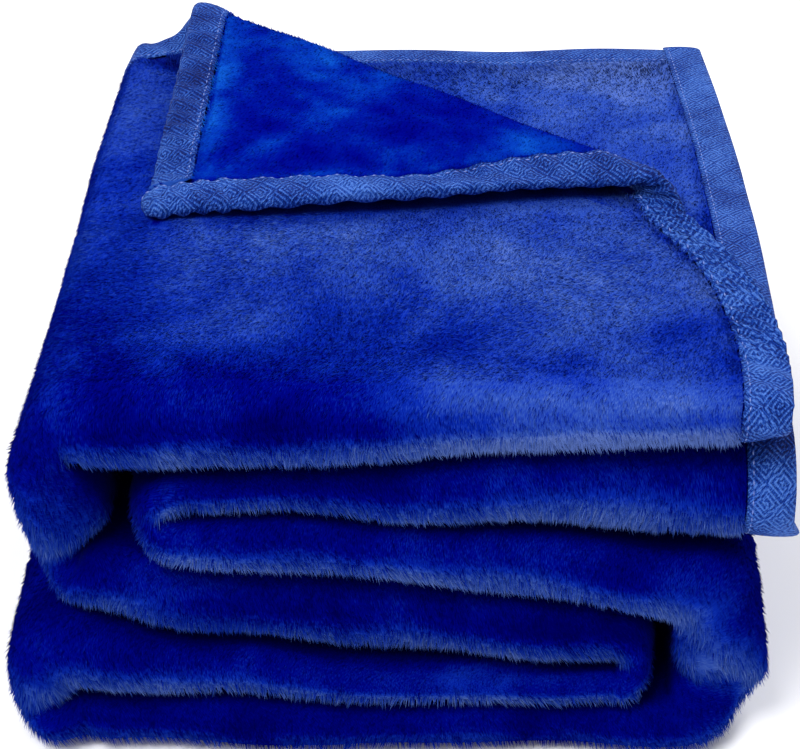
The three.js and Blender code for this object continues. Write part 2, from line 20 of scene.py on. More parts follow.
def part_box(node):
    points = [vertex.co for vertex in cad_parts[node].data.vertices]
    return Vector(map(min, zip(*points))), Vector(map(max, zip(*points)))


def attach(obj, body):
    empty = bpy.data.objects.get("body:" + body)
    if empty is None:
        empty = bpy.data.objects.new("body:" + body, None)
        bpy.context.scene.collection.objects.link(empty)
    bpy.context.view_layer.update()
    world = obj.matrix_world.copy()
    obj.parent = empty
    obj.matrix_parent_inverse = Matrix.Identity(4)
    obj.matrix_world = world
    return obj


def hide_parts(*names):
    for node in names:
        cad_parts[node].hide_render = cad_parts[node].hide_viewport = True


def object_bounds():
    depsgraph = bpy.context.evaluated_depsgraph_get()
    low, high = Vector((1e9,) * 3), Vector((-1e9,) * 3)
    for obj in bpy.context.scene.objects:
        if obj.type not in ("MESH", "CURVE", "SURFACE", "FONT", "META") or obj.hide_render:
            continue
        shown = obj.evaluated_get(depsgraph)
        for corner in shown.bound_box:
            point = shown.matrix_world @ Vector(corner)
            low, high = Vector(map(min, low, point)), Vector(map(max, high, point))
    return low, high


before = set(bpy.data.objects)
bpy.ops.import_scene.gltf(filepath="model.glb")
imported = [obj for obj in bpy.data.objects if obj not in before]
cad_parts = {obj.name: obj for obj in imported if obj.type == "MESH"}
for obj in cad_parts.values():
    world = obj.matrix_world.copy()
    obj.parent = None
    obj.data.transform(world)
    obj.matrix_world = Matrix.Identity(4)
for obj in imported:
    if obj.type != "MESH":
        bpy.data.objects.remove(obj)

MM = 0.001
cad_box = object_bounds()
scene = bpy.context.scene
print("CAD nodes:", sorted(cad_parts))

# %% [markdown]
# ## The strip of four plies
#
# A maker folds this blanket in two stages. The flat cloth is folded in four across its width,
# which gives a strip with its fold to the front and its long edges to the rear. The strip is then
# laid in six passes, one on the next. One description serves both: a point of the strip has a
# place along the route, a depth from front to rear, and a level between its two faces.

# %% Sizes of the cloth and its plies
CLOTH_WIDTH = 1270.0
PLIES = 4
PLY_THICKEST = 6.2
PLY_GAP = 1.0
PASS_GAP = 1.2
# what the front and rear folds use up of the cloth's width
FOLD_ALLOWANCE = 54.0
FRONT = 3.0
FRONT_ROUND = 17.0
BACK = FRONT + FRONT_ROUND + (CLOTH_WIDTH - FOLD_ALLOWANCE) / PLIES
# the front folds ease into the even rear part of the bundle between these depths
EASE_START = 15.0
EASE_LENGTH = 130.0
# how far the front fold reaches past its centre: so many plies, and a little more
FRONT_FOLD_PLIES = 1.9
FRONT_FOLD_EXTRA = 3.0
print(f"the bundle is {BACK - FRONT:.0f} mm from its front fold to its rear edges")

# %% Sizes of the tape
TAPE_WIDTH = 17.0
TAPE_WALL = 0.8
TAPE_CLEARANCE = 0.3
# the pressed cloth stops this far inside the tape's rim
TAPE_NOSE = 2.2
# how much thinner each face of the cloth is inside the tape, and where it is full again
PRESSED = TAPE_WALL + TAPE_CLEARANCE
PRESSED_WIDTH = TAPE_WIDTH + TAPE_CLEARANCE
FULL_FROM = PRESSED_WIDTH + 0.4
print(f"the tape shows {TAPE_WIDTH:.0f} mm on each side of the cloth")

# %% [markdown]
# ## Where one pass lies on the next
#
# The passes sag and bulge, so the lines between them aren't level. The front lines are read off
# the photograph, in millimetres above the floor at named places across the bundle. Further back
# the passes even out, because the stack is held flat there by its own weight.

# %% Heights of the lines between the passes
ACROSS = np.array([-118.0, -75.0, -6.0, 50.0, 105.0, 128.0])
FRONT_LINES = {
    "top": [144, 147, 147, 147, 147, 148],
    "first": [111, 114, 117, 124, 126, 129],
    "second": [103, 97, 92, 88, 77, 75],
    "third": [83, 75, 69, 61, 49, 47],
    "fourth": [55, 42, 34, 32, 34, 35],
    "fifth": [22, 21, 20, 20, 21, 22],
    "floor": [0, 0, 0, 0, 0, 0],
}
BACK_LINES = {
    "top": [144, 147, 147, 147, 147, 147],
    "first": [117, 120, 122, 124, 125, 125],
    "second": [102, 98, 98, 97, 94, 93],
    "third": [82, 76, 73, 71, 66, 66],
    "fourth": [56, 49, 46, 45, 45, 45],
    "fifth": [26, 24, 23, 22, 22, 22],
    "floor": [0, 0, 0, 0, 0, 0],
}

# %% The passes and the turns between them
PASS_COLUMNS = ("upper", "lower", "start", "end", "set_back", "edge", "fold_back")
PASSES = [dict(zip(PASS_COLUMNS, row)) for row in (
    ("top", "first", 125, -121, 0, -9, 6),
    ("third", "fourth", -113, 70, 3, -4, 6),
    ("fourth", "fifth", 70, -120, -3, -1, 5),
    ("fifth", "floor", -120, 90, -5, 1, 5),
    ("second", "third", 90, -80, 0, -6, 7),
    ("first", "second", -80, 130, 4, -9, 8),
)]
TURN_COLUMNS = ("outer", "rear_outer", "inner", "square_first", "square_second",
                "pucker", "pucker_depth", "steps")
TURNS = [dict(zip(TURN_COLUMNS, row)) for row in (
    (-139.5, -136.5, -107, 2.4, 2.8, 0.72, 9, 8),
    (86, 86, 71, 2.1, 2.1, 0.5, 2, 6),
    (-148, -148, -121.2, 2.6, 3.0, 0.62, 6, 7),
    (125, 125, 92, 2.5, 3.4, 0.36, 9, 8),
    (-101, -101, -84, 2.0, 2.0, 0.5, 2, 6),
)]
TOP_PASS = PASSES[0]
print(len(PASSES), "passes and", len(TURNS), "turns")

# %% Where the corner is turned over
# how far the top ply's right end is drawn in to the left at the fold, and how suddenly
EDGE_SWEEP = 22.0
SWEEP_POWER = 2.2
# how far the right ends of the top pass's plies bulge
END_BULGE = 5.0
# the two ends of the fold and the corner itself, seen from above
FLAP_START = np.array([TOP_PASS["start"] - EDGE_SWEEP, 143.0])
FLAP_END = np.array([-119.0, BACK + TOP_PASS["edge"]])
FLAP_CORNER = np.array([-105.0, 135.0])
# the roll's radius at both ends, and how far the corner's long edge bows out
ROLL_START = 5.5
ROLL_END = 11.5
FLAP_BOW = 7.0
print(f"the corner's fold is {np.linalg.norm(FLAP_END - FLAP_START):.0f} mm long")


# %% [markdown]
# ## The faces of the strip
#
# On a pass the two faces are the lines above and below it. Through a turn each face follows a
# half loop that bulges out to a given reach and is a little squarer than a circle, as a thick
# fold of cloth is. The same is done for the front lines and the back lines.

# %% Faces of the strip at one place
def ease(t):
    """Rises gently from nought to one."""
    s = np.clip(t, 0.0, 1.0)
    return s * s * (3.0 - 2.0 * s)


def line_height(lines, name, x):
    heights = lines[name]
    k = int(np.searchsorted(ACROSS[1:-1], x))
    t = min(1.0, max(0.0, (x - ACROSS[k]) / (ACROSS[k + 1] - ACROSS[k])))
    return heights[k] + (heights[k + 1] - heights[k]) * (ease(t) + t) / 2.0


def pass_faces(lines, one, x):
    upper = line_height(lines, one["upper"], x) - (0 if one["upper"] == "top" else PASS_GAP / 2)
    lower = line_height(lines, one["lower"], x) + (0 if one["lower"] == "floor" else PASS_GAP / 2)
    plus, minus = (upper, lower) if one["end"] < one["start"] else (lower, upper)
    return np.array([x, plus]), np.array([x, minus])


def loop_point(start, end, reach, turn, t):
    """A place on the half loop from start to end that bulges out to reach."""
    angle = math.pi * t
    power = 2.0 / (turn["square_first"] if t < 0.5 else turn["square_second"])
    middle = (start[1] + end[1]) / 2.0
    out = math.sin(angle) ** power
    up = math.copysign(abs(math.cos(angle)) ** power, math.cos(angle))
    return np.array([start[0] + (reach - start[0]) * out, middle + (start[1] - middle) * up])


def faces_at(lines, place):
    """place is the pass or turn, x on the pass, and how far through the turn it is, or None."""
    k, x, t = place
    if t is None:
        return pass_faces(lines, PASSES[k], x)
    turn = TURNS[k]
    plus_a, minus_a = pass_faces(lines, PASSES[k], PASSES[k]["end"])
    plus_b, minus_b = pass_faces(lines, PASSES[k + 1], PASSES[k + 1]["start"])
    plus_is_outer = abs(plus_a[1] - plus_b[1]) > abs(minus_a[1] - minus_b[1])
    outer = turn["rear_outer"] if lines is BACK_LINES else turn["outer"]
    reach = (outer, turn["inner"]) if plus_is_outer else (turn["inner"], outer)
    return (loop_point(plus_a, plus_b, reach[0], turn, t),
            loop_point(minus_a, minus_b, reach[1], turn, t))


# %% Places along the strip, close together
# millimetres between two stations on a pass, and how much finer a turn is than its CAD steps
STATION_STEP = 5.5
TURN_FINER = 2.2


def list_places():
    places = []
    pressed = []
    for k, one in enumerate(PASSES):
        way = math.copysign(1.0, one["end"] - one["start"])
        begin, finish = one["start"], one["end"]
        if k == 0:
            places += [(k, begin + way * mm, None) for mm in (TAPE_NOSE, PRESSED_WIDTH)]
            pressed += [True, True]
            begin += way * FULL_FROM
        if k == len(PASSES) - 1:
            finish -= way * FULL_FROM
        xs = list(np.linspace(begin, finish, int(abs(finish - begin) / STATION_STEP) + 1))
        if k == 0:
            xs = [x for x in xs[:-1] if abs(x - FLAP_END[0] - FULL_FROM) > 1.0]
            xs += [FLAP_END[0] + FULL_FROM, FLAP_END[0] + PRESSED_WIDTH, finish]
            xs.sort(reverse=True)
        places += [(k, x, None) for x in xs]
        pressed += [False] * len(xs)
        if k < len(TURNS):
            steps = int(TURNS[k]["steps"] * TURN_FINER)
            places += [(k, one["end"], i / steps) for i in range(1, steps)]
            pressed += [False] * (steps - 1)
    last = PASSES[-1]["end"]
    places += [(len(PASSES) - 1, last - mm, None) for mm in (PRESSED_WIDTH, TAPE_NOSE)]
    pressed += [True, True]
    return places, np.array(pressed)


# %% Everything that is the same all through one station
# height and length of the slow waves along each front fold, and their shift from pass to pass
FRONT_WAVES = ((1.4, 23.0, 2.1), (0.8, 11.0, 1.0))


def eased(place, name):
    k, x, t = place
    here = PASSES[k][name]
    return here if t is None else here + (PASSES[k + 1][name] - here) * ease(t)


def pucker(place):
    """The inner side of a turn is drawn in at the front."""
    k, x, t = place
    if t is None:
        return 0.0
    steps_off = (t - TURNS[k]["pucker"]) * TURNS[k]["steps"]
    return TURNS[k]["pucker_depth"] * math.exp(-1.2 * steps_off * steps_off)


def front_wave(place):
    k, x, t = place
    return sum(height * math.sin(x / length + k * shift) for height, length, shift in FRONT_WAVES)


class Stations:
    """The strip's stations as arrays, one row for each place."""

    def __init__(self, places):
        faces = [faces_at(FRONT_LINES, p) + faces_at(BACK_LINES, p) for p in places]
        self.front_plus, self.front_minus, self.back_plus, self.back_minus = (
            np.array([f[i] for f in faces]) for i in range(4))
        self.k = np.array([p[0] for p in places])
        self.x = np.array([p[1] for p in places], float)
        self.on_pass = np.array([p[2] is None for p in places])
        self.edge_y = np.array([BACK + eased(p, "edge") for p in places])
        self.fold_y = self.edge_y + np.array([eased(p, "fold_back") for p in places])
        self.front_y = np.array(
            [FRONT + eased(p, "set_back") + pucker(p) + front_wave(p) for p in places])
        self.over = (self.k == 0) & self.on_pass & (self.x > FLAP_END[0])


places, end_pressed = list_places()
strip = Stations(places)
print(len(places), "stations along the strip")


# %% [markdown]
# ## From route, depth and level to a point
#
# These few functions are the whole fold. Numpy works on every station at once: each argument has
# a row for each station and a column for each point along the cloth at that station.

# %% A point of the strip
def even_point(stations, y, level):
    t = ease((y - EASE_START) / EASE_LENGTH)[..., None]
    share = ((level + PLIES / 2.0) / PLIES)[..., None]
    front_minus, front_plus = stations.front_minus[:, None], stations.front_plus[:, None]
    back_minus, back_plus = stations.back_minus[:, None], stations.back_plus[:, None]
    front = front_minus + (front_plus - front_minus) * share
    back = back_minus + (back_plus - back_minus) * share
    flat = front + (back - front) * t
    return np.stack([flat[..., 0], y, flat[..., 1]], axis=-1)


def drawn_in(stations, y, level):
    """How far the right end of the top pass is drawn in to the left."""
    top_ply = level > 1.0
    depth = np.clip(y / np.where(top_ply, FLAP_START[1], BACK), 0.0, 1.0)
    drawn = np.where(top_ply, EDGE_SWEEP * depth ** SWEEP_POWER, 0.0)
    start = TOP_PASS["start"] - FULL_FROM
    along = ease((stations.x - TOP_PASS["end"]) / (start - TOP_PASS["end"]))[:, None]
    on_top_pass = ((stations.k == 0) & stations.on_pass)[:, None]
    return np.where(on_top_pass, (drawn - END_BULGE * np.sin(math.pi * depth)) * along, 0.0)


def strip_point(stations, y, level):
    point = even_point(stations, y, level)
    point[..., 0] -= drawn_in(stations, y, level)
    return point


def across_and_pitch(stations, y):
    """The way from the strip's one face to the other, and the height of one ply."""
    half = np.full_like(y, PLIES / 2.0)
    step = even_point(stations, y, half) - even_point(stations, y, -half)
    length = np.linalg.norm(step, axis=-1)
    return step / length[..., None], length / PLIES


def ply_thickness(pitch):
    return np.minimum(pitch - PLY_GAP, PLY_THICKEST)


# %% [markdown]
# ## The cloth at one station
#
# Cut the bundle across and the cloth shows as one line: from the edge of the top ply, round the
# front to the bottom ply, round the rear, through the inner fold to the edge of the second ply.
# The line is sampled finely where it shows, on the outside, and coarsely inside the bundle.

# %% The middle line of the cloth
OUTER_SHARES = np.linspace(0.0, 1.0, 27)
INNER_SHARES = np.linspace(0.0, 1.0, 9)
FRONT_FOLD_STEPS = 15
SMALL_FOLD_STEPS = 6
# levels of the four plies, counted in plies from the middle of the strip
TOP, SECOND, THIRD, BOTTOM = 1.5, 0.5, -0.5, -1.5


def top_ply_end(stations):
    """Where the top ply ends: at its edge, or at the turned-over corner's fold."""
    y = np.full(len(stations.x), FLAP_START[1])
    slope = (FLAP_END[1] - FLAP_START[1]) / (FLAP_END[0] - FLAP_START[0])
    for i in range(30):
        x = strip_point(stations, y[:, None], np.full((len(y), 1), TOP))[:, 0, 0]
        y = FLAP_START[1] + (x - FLAP_START[0]) * slope
    return np.where(stations.over, y, stations.edge_y)


def middle_line(stations):
    """Depth, level, direction out of the face and pressed or not: a column for each point."""
    pitch = across_and_pitch(stations, stations.front_y[:, None])[1][:, 0]
    back_pitch = across_and_pitch(stations, stations.fold_y[:, None])[1][:, 0]
    thick = ply_thickness(pitch)
    round_size = FRONT_FOLD_PLIES * pitch + FRONT_FOLD_EXTRA
    front_centre = stations.front_y + round_size
    back_centre = stations.fold_y - back_pitch
    top_end = top_ply_end(stations)
    top_bound = ~stations.over
    near_fold_end = stations.over & (stations.x <= FLAP_END[0] + PRESSED_WIDTH + 0.01)
    ones = np.ones(len(stations.x))
    columns = []

    def ply(depth, level, face, pressed=False):
        columns.append((depth, level * ones, 0 * ones, face * ones, pressed & (ones > 0)))

    def fold(centre, reach, half, middle, steps, way, rising, face, local_pitch):
        """A half circle of cloth: half its height and its middle are counted in plies."""
        for i in range(1, steps):
            angle = rising * (math.pi * i / steps - math.pi / 2.0)
            out_y = way * math.cos(angle) / reach
            out_z = math.sin(angle) / (half * local_pitch)
            length = np.hypot(out_y, out_z)
            columns.append((centre + way * math.cos(angle) * reach,
                            (middle + math.sin(angle) * half) * ones,
                            face * out_y / length, face * out_z / length, ones < 0))

    edge_pressed = top_bound | near_fold_end
    ply(top_end - TAPE_NOSE * top_bound, TOP, 1, edge_pressed)
    ply(top_end - PRESSED_WIDTH, TOP, 1, edge_pressed)
    full_end = top_end - FULL_FROM
    for share in OUTER_SHARES:
        ply(full_end + (front_centre - full_end) * share, TOP, 1)
    fold(front_centre, round_size - thick / 2, TOP, 0, FRONT_FOLD_STEPS, -1, -1, 1, pitch)
    for share in OUTER_SHARES:
        ply(front_centre + (back_centre - front_centre) * share, BOTTOM, -1)
    fold(back_centre, back_pitch / 2, 0.5, -1, SMALL_FOLD_STEPS, 1, 1, 1, back_pitch)
    for share in INNER_SHARES[::-1]:
        ply(front_centre + (back_centre - front_centre) * share, THIRD, 1)
    fold(front_centre, pitch / 2, 0.5, 0, SMALL_FOLD_STEPS, -1, 1, -1, pitch)
    inner_end = stations.edge_y - FULL_FROM
    for share in INNER_SHARES[::-1]:
        ply(inner_end + (front_centre - inner_end) * share, SECOND, -1)
    ply(stations.edge_y - PRESSED_WIDTH, SECOND, -1, ones > 0)
    ply(stations.edge_y - TAPE_NOSE, SECOND, -1, ones > 0)
    return [np.stack([column[i] for column in columns], axis=1) for i in range(5)]


# %% The two faces of the cloth at every station
def off_point(stations, line, distance):
    """The middle line's points, moved off it by a distance towards its face."""
    y, level, out_y, out_z = line[:4]
    pitch = across_and_pitch(stations, y)[1]
    return strip_point(stations, y + out_y * distance, level + out_z * distance / pitch)


def cloth_rings(stations, bound_end):
    line = middle_line(stations)
    pitch = across_and_pitch(stations, line[0])[1]
    half = ply_thickness(pitch) / 2.0 - PRESSED * (line[4] | bound_end[:, None])
    face = off_point(stations, line, half)
    back = off_point(stations, line, -half)
    return np.concatenate([face, back[:, ::-1]], axis=1)


strip_rings = cloth_rings(strip, end_pressed)
print("the strip has", strip_rings.shape[0], "rings of", strip_rings.shape[1], "points")


# %% [markdown]
# ## The turned-over corner
#
# The corner of the top ply is folded back over a soft roll, underside up. The flat triangle of
# cloth keeps its lengths: a point is so far off the fold (a) and so far along it (b). Up to the
# fold it lies on the top ply, then it goes round the roll, and then it settles on the ply below.

# %% The corner as flat cloth
# the corner's cloth starts this far inside the top ply, leaves it just past the fold's start,
# and its end rings are set in from the fold's ends
FLAP_ROOT = 1.6
FLAP_LEAVES = 0.7
FLAP_END_INSET = 3.0
# it is a little thinner than a ply of the strip, and rests this far above the ply below
FLAP_THINNER = 0.1
FLAP_REST = 0.4
# the station of the top pass whose ply gives the corner its thickness
FLAP_STATION = 9

flap_way = FLAP_END - FLAP_START
flap_length = float(np.linalg.norm(flap_way))
flap_way = flap_way / flap_length
flap_out = np.array([flap_way[1], -flap_way[0]])
corner_off = FLAP_CORNER - FLAP_START
corner_b = float(corner_off @ flap_way)
corner_a = math.pi * (ROLL_START + (ROLL_END - ROLL_START) * corner_b / flap_length)
corner_a -= float(corner_off @ flap_out)
right_side = math.hypot(corner_a, corner_b)
back_side = math.hypot(corner_a, flap_length - corner_b)
on_top_pass = np.flatnonzero((strip.k == 0) & strip.on_pass)
top_stations = Stations([places[i] for i in on_top_pass])
rear = np.full((len(on_top_pass), 1), BACK)
top_pitch = float(across_and_pitch(top_stations, rear)[1][FLAP_STATION, 0])
flap_half = ply_thickness(top_pitch) / 2.0 - FLAP_THINNER
print(f"the corner's bound edges are {right_side:.0f} and {back_side:.0f} mm long")


# %% Where a flat point of the corner lies
GROUND_YS = np.linspace(60.0, 350.0, 59)
ground = strip_point(top_stations, np.tile(GROUND_YS, (len(on_top_pass), 1)),
                     np.full((len(on_top_pass), len(GROUND_YS)), TOP))


def top_ply_height(x, y):
    """Height of the middle of the top ply, from a grid of its points."""
    j = np.clip((y - GROUND_YS[0]) / (GROUND_YS[1] - GROUND_YS[0]), 0, len(GROUND_YS) - 1.001)
    j0 = j.astype(int)
    t = j - j0
    height = np.empty_like(x)
    for index in np.ndindex(x.shape):
        a, b = ground[:, j0[index]], ground[:, j0[index] + 1]
        row = a + (b - a) * t[index]
        height[index] = np.interp(x[index], row[::-1, 0], row[::-1, 2])
    return height


def flap_point(a, b):
    """A point of the corner's cloth: a mm off the fold and b mm along it."""
    radius = ROLL_START + (ROLL_END - ROLL_START) * np.clip(b / flap_length, 0, 1)
    roll_end = math.pi * radius
    past = a > roll_end
    t = np.clip((a - roll_end) / (corner_a - roll_end), 0, None)
    bow = FLAP_BOW * np.sin(math.pi * np.clip(b / corner_b, 0, 1)) * ease(2 * t)
    turned = np.clip(a, 0, None) / radius
    off = np.where(past, roll_end - a - bow, np.where(a > 0, radius * np.sin(turned), a))
    settled = 2 * radius + (top_pitch + FLAP_REST - 2 * radius) * t
    rise = np.where(past, settled, np.where(a > 0, radius * (1 - np.cos(turned)), 0))
    x = FLAP_START[0] + flap_way[0] * b + flap_out[0] * off
    y = FLAP_START[1] + flap_way[1] * b + flap_out[1] * off
    return np.stack([x, y, top_ply_height(x, y) + rise], axis=-1)


def flap_normal(a, b, step=0.4):
    along_a = flap_point(a + step, b) - flap_point(a - step, b)
    along_b = flap_point(a, b + step) - flap_point(a, b - step)
    normal = np.cross(along_a, along_b)
    return normal / np.linalg.norm(normal, axis=-1, keepdims=True)


# %% The two faces of the corner
FLAP_RINGS = 64


def flap_inset(b, distance):
    """How far off the fold the cloth reaches if it stops this distance short of its edges."""
    right = (b * corner_a - distance * right_side) / corner_b
    back = ((flap_length - b) * corner_a - distance * back_side) / (flap_length - corner_b)
    return np.minimum(right, back)


def flap_offsets(b):
    end = np.maximum(flap_inset(b, TAPE_NOSE), 1.5)
    full_to = np.maximum(flap_inset(b, FULL_FROM), 0.05 * end)
    pressed_from = np.maximum(flap_inset(b, PRESSED_WIDTH), full_to + 0.1)
    radius = ROLL_START + (ROLL_END - ROLL_START) * b / flap_length
    roll_end = np.minimum(math.pi * radius, full_to * 0.8)
    columns = [np.full_like(b, -FLAP_ROOT), np.minimum(FLAP_LEAVES, 0.1 * roll_end)]
    columns += [roll_end * share for share in np.linspace(0.12, 1.0, 9)]
    columns += [roll_end + (full_to - roll_end) * share for share in np.linspace(0.1, 1.0, 14)]
    columns += [pressed_from + (end - pressed_from) * share for share in (0, 0.33, 0.66, 1)]
    return np.stack(columns, axis=1)


def flap_rings():
    b = FLAP_END_INSET + (flap_length - 2 * FLAP_END_INSET) * ease(np.linspace(0, 1, FLAP_RINGS))
    a = flap_offsets(b)
    b = np.repeat(b[:, None], a.shape[1], axis=1)
    to_right = (b * corner_a - a * corner_b) / right_side
    to_back = ((flap_length - b) * corner_a - a * (flap_length - corner_b)) / back_side
    pressed = np.minimum(to_right, to_back) < FULL_FROM - 0.01
    half = (flap_half - (PRESSED + TAPE_CLEARANCE) * pressed)[..., None]
    normal = flap_normal(np.maximum(a, 0.41), b)
    normal = np.where((a <= 0)[..., None], np.array([0.0, 0.0, 1.0]), normal)
    middle = flap_point(a, b)
    return np.concatenate([middle + normal * half, (middle - normal * half)[:, ::-1]], axis=1)


corner_rings = flap_rings()
print("the turned-over corner has", corner_rings.shape[0], "rings")

# %% [markdown]
# ## Creases
#
# A pile of soft cloth is never even. Each main crease of the photograph is one row here: a line
# in the bundle, how wide the trough is, and which way and how far it pushes the cloth. The push
# fades smoothly to nothing, and it moves all the cloth near it together, so the plies stay apart.

# %% The creases, listed
CREASE_COLUMNS = ("begin", "end", "width", "push")
CREASES = [dict(zip(CREASE_COLUMNS, row)) for row in (
    # the fold of the left turn, where the top pass goes down and round
    ((-106, 4, 112), (-103, 8, 66), 8, (1, 6, 0)),
    ((-121, 2, 96), (-128, 12, 60), 6, (1, 3, 0)),
    # the right turn, pinched towards its inner fold
    ((100, 2, 46), (119, 9, 16), 7, (-1, 6, 0)),
    ((108, 3, 62), (121, 14, 60), 6, (-2, 2, 0)),
    # the notch between the two taped ends at the right
    ((110, 0, 122), (138, 6, 121), 5, (-2, 5, 0)),
    # the walls beside the two hollows lean in
    ((93, -2, 66), (91, 8, 40), 7, (-8, 2, 0)),
    ((-108, -2, 113), (-107, 8, 92), 7, (7, 2, 0)),
    # the outsides of the turns bulge
    ((-140, -5, 112), (-140, 60, 96), 15, (-5, 0, 0)),
    ((130, -2, 84), (130, 40, 76), 8, (6, 0, 0)),
    ((119, -2, 28), (119, 40, 24), 11, (5, 0, 0)),
    # the long tape of the turned-over corner lies down on the pile
    ((-118, 168, 160), (80, 152, 160), 9, (0, 0, -4.5)),
    # the lower left corner, notched over the floor
    ((-124, -1, 20), (-121, 2, 4), 6, (1, 5, 0)),
    # the front of the top pass
    ((-64, 8, 134), (-20, 2, 124), 8, (0, 1.6, -0.8)),
    ((16, 6, 138), (58, 0, 132), 9, (0, 1.5, -1)),
    ((80, 5, 140), (112, 2, 130), 7, (0, 1.8, -0.5)),
    # the front of the pass under it
    ((-40, 0, 108), (-14, 0, 98), 6, (0, 2, 0)),
    ((30, 2, 112), (70, 3, 96), 7, (0, 1.8, 0)),
    # the two middle passes
    ((-60, 0, 88), (-30, 0, 78), 6, (0, 2, 0)),
    ((20, 2, 76), (48, 2, 66), 6, (0, 1.8, 0)),
    ((-50, 0, 62), (-16, 0, 50), 6, (0, 2, 0)),
    ((-92, -2, 44), (-60, -2, 30), 7, (0, 2.2, 0)),
    ((0, -2, 30), (40, -2, 24), 5, (0, 1.5, 0)),
    # the bottom pass
    ((-70, -2, 14), (-40, -2, 6), 5, (0, 1.8, 0)),
    ((36, -2, 14), (62, -2, 6), 5, (0, 1.8, 0)),
    # broad dents in the top ply, and one beside the turned-over corner
    ((-96, 110, 147), (-70, 40, 147), 20, (0, 0, -2.4)),
    ((-30, 70, 147), (30, 40, 147), 17, (0, 0, -1.8)),
    ((62, 100, 147), (88, 30, 147), 16, (0, 0, -2.0)),
    ((-10, 110, 147), (50, 118, 147), 15, (0, 0, 1.2)),
    # the left side
    ((-138, 90, 110), (-140, 190, 104), 13, (3, 0, 0)),
    ((-146, 120, 30), (-146, 240, 34), 12, (2.6, 0, 0)),
    # the right side
    ((124, 110, 40), (124, 230, 46), 12, (-2.8, 0, 0)),
)]
print(len(CREASES), "creases")


# %% Push the cloth into its creases
# slow ripples all through the bundle: a direction in radians per millimetre, and a shift
WAVES = np.array([
    (0.043, 0.021, 0.067, 0.4),
    (-0.052, 0.061, 0.038, 2.1),
    (0.089, -0.047, 0.081, 4.4),
    (-0.071, -0.093, 0.112, 1.3),
])
WAVE_HEIGHT = 0.45
# the ripples start this far above the floor
FLOOR_EASE = 18.0


def creased(points):
    moved = points.copy()
    for one in CREASES:
        begin, end = np.array(one["begin"], float), np.array(one["end"], float)
        way = end - begin
        t = np.clip(((points - begin) @ way) / (way @ way), 0.0, 1.0)
        near = begin + t[..., None] * way
        distance = np.linalg.norm(points - near, axis=-1)
        weight = np.exp(-(distance / one["width"]) ** 2) * (0.55 + 0.45 * np.sin(math.pi * t))
        moved += weight[..., None] * np.array(one["push"], float)
    phase = points @ WAVES[:, :3].T + WAVES[:, 3]
    ripple = WAVE_HEIGHT * np.sin(phase).sum(axis=-1) / 2.0
    above_floor = ease(points[..., 2] / FLOOR_EASE)
    moved[..., 1] += ripple * 0.6
    moved[..., 2] += ripple * above_floor
    return moved


# %% [markdown]
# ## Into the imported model's frame
#
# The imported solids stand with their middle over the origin, while the fold is worked out from an
# origin of its own. Two of the tapes tell how far apart the two are, so that the dressed cloth
# lies where the solids lie. On the way the rear left corner of the stack sags, as the turns leave
# a hollow in it there, and nothing is let through the floor.

# %% Put the folded cloth in the frame
SHIFT = np.array([
    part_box("binding_last_end")[1].x / MM - PASSES[-1]["end"],
    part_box("binding_second_ply_side")[1].y / MM - (BACK + PASSES[3]["edge"]),
    -PLY_GAP / 2,
])
# the sag takes this share of the height, from these places on, over these lengths
SAG_SHARE = 0.085
SAG_X = -122.0
SAG_ACROSS = 16.0
SAG_Y = 205.0
SAG_DEEP = 110.0
print("from the fold's own place to the frame, mm:", SHIFT.round(2))


def sagged(points):
    across = ease((SAG_X - points[..., 0]) / SAG_ACROSS)
    deep = ease((points[..., 1] - SAG_Y) / SAG_DEEP)
    lowered = points.copy()
    lowered[..., 2] *= 1.0 - SAG_SHARE * across * deep
    return lowered


def framed(points):
    placed = creased(sagged(points)) + SHIFT
    placed[..., 2] = np.maximum(placed[..., 2], 0.0)
    return placed * MM


# %% [markdown]
# ## A shell through rings of points
#
# Every soft piece here is the same kind of thing: a closed band that follows a row of rings. Each
# ring runs along one side and back along the other. A grid is made with one bmesh operator, its
# points are moved to the rings, its sides are welded, and its two ends are closed with faces
# between the pairs of points. Where a pattern follows the piece, the grid carries a UV map in
# millimetres along and around the band.

# %% The helper that makes a shell
def shell_through(name, bands, uv_name=None, place_name=None):
    """bands is a list of (rings, along, around): rings of points in metres, and millimetres."""
    bm = bmesh.new()
    uv_layer = bm.loops.layers.uv.new(uv_name) if uv_name else None
    place_layer = bm.verts.layers.float_vector.new(place_name) if place_name else None
    for rings, along, around in bands:
        rows, count = rings.shape[:2]
        grid = bmesh.ops.create_grid(bm, x_segments=count, y_segments=rows - 1, size=0.5)
        table = {}
        for vert in grid["verts"]:
            i = round((vert.co.x + 0.5) * count)
            j = round((vert.co.y + 0.5) * (rows - 1))
            table[j, i] = vert
        if uv_layer:
            place = {vert: key for key, vert in table.items()}
            for face in {f for vert in grid["verts"] for f in vert.link_faces}:
                for loop in face.loops:
                    j, i = place[loop.vert]
                    loop[uv_layer].uv = (along[j], around[i])
        for (j, i), vert in table.items():
            vert.co = rings[j, i % count]
            if place_layer:
                vert[place_layer] = (along[j] - around[i % count, 1], around[i % count, 0], 0.0)
        for j in (0, rows - 1):
            for i in range(count // 2 - 1):
                corners = (i, i + 1, count - 2 - i, count - 1 - i)
                bm.faces.new([table[j, corner] for corner in corners])
        seam = [table[j, i] for j in range(rows) for i in (0, count)]
        bmesh.ops.remove_doubles(bm, verts=seam, dist=1e-7)
    bmesh.ops.recalc_face_normals(bm, faces=bm.faces)
    mesh = bpy.data.meshes.new(name)
    bm.to_mesh(mesh)
    bm.free()
    mesh.polygons.foreach_set("use_smooth", [True] * len(mesh.polygons))
    piece = bpy.data.objects.new(name, mesh)
    scene.collection.objects.link(piece)
    return piece


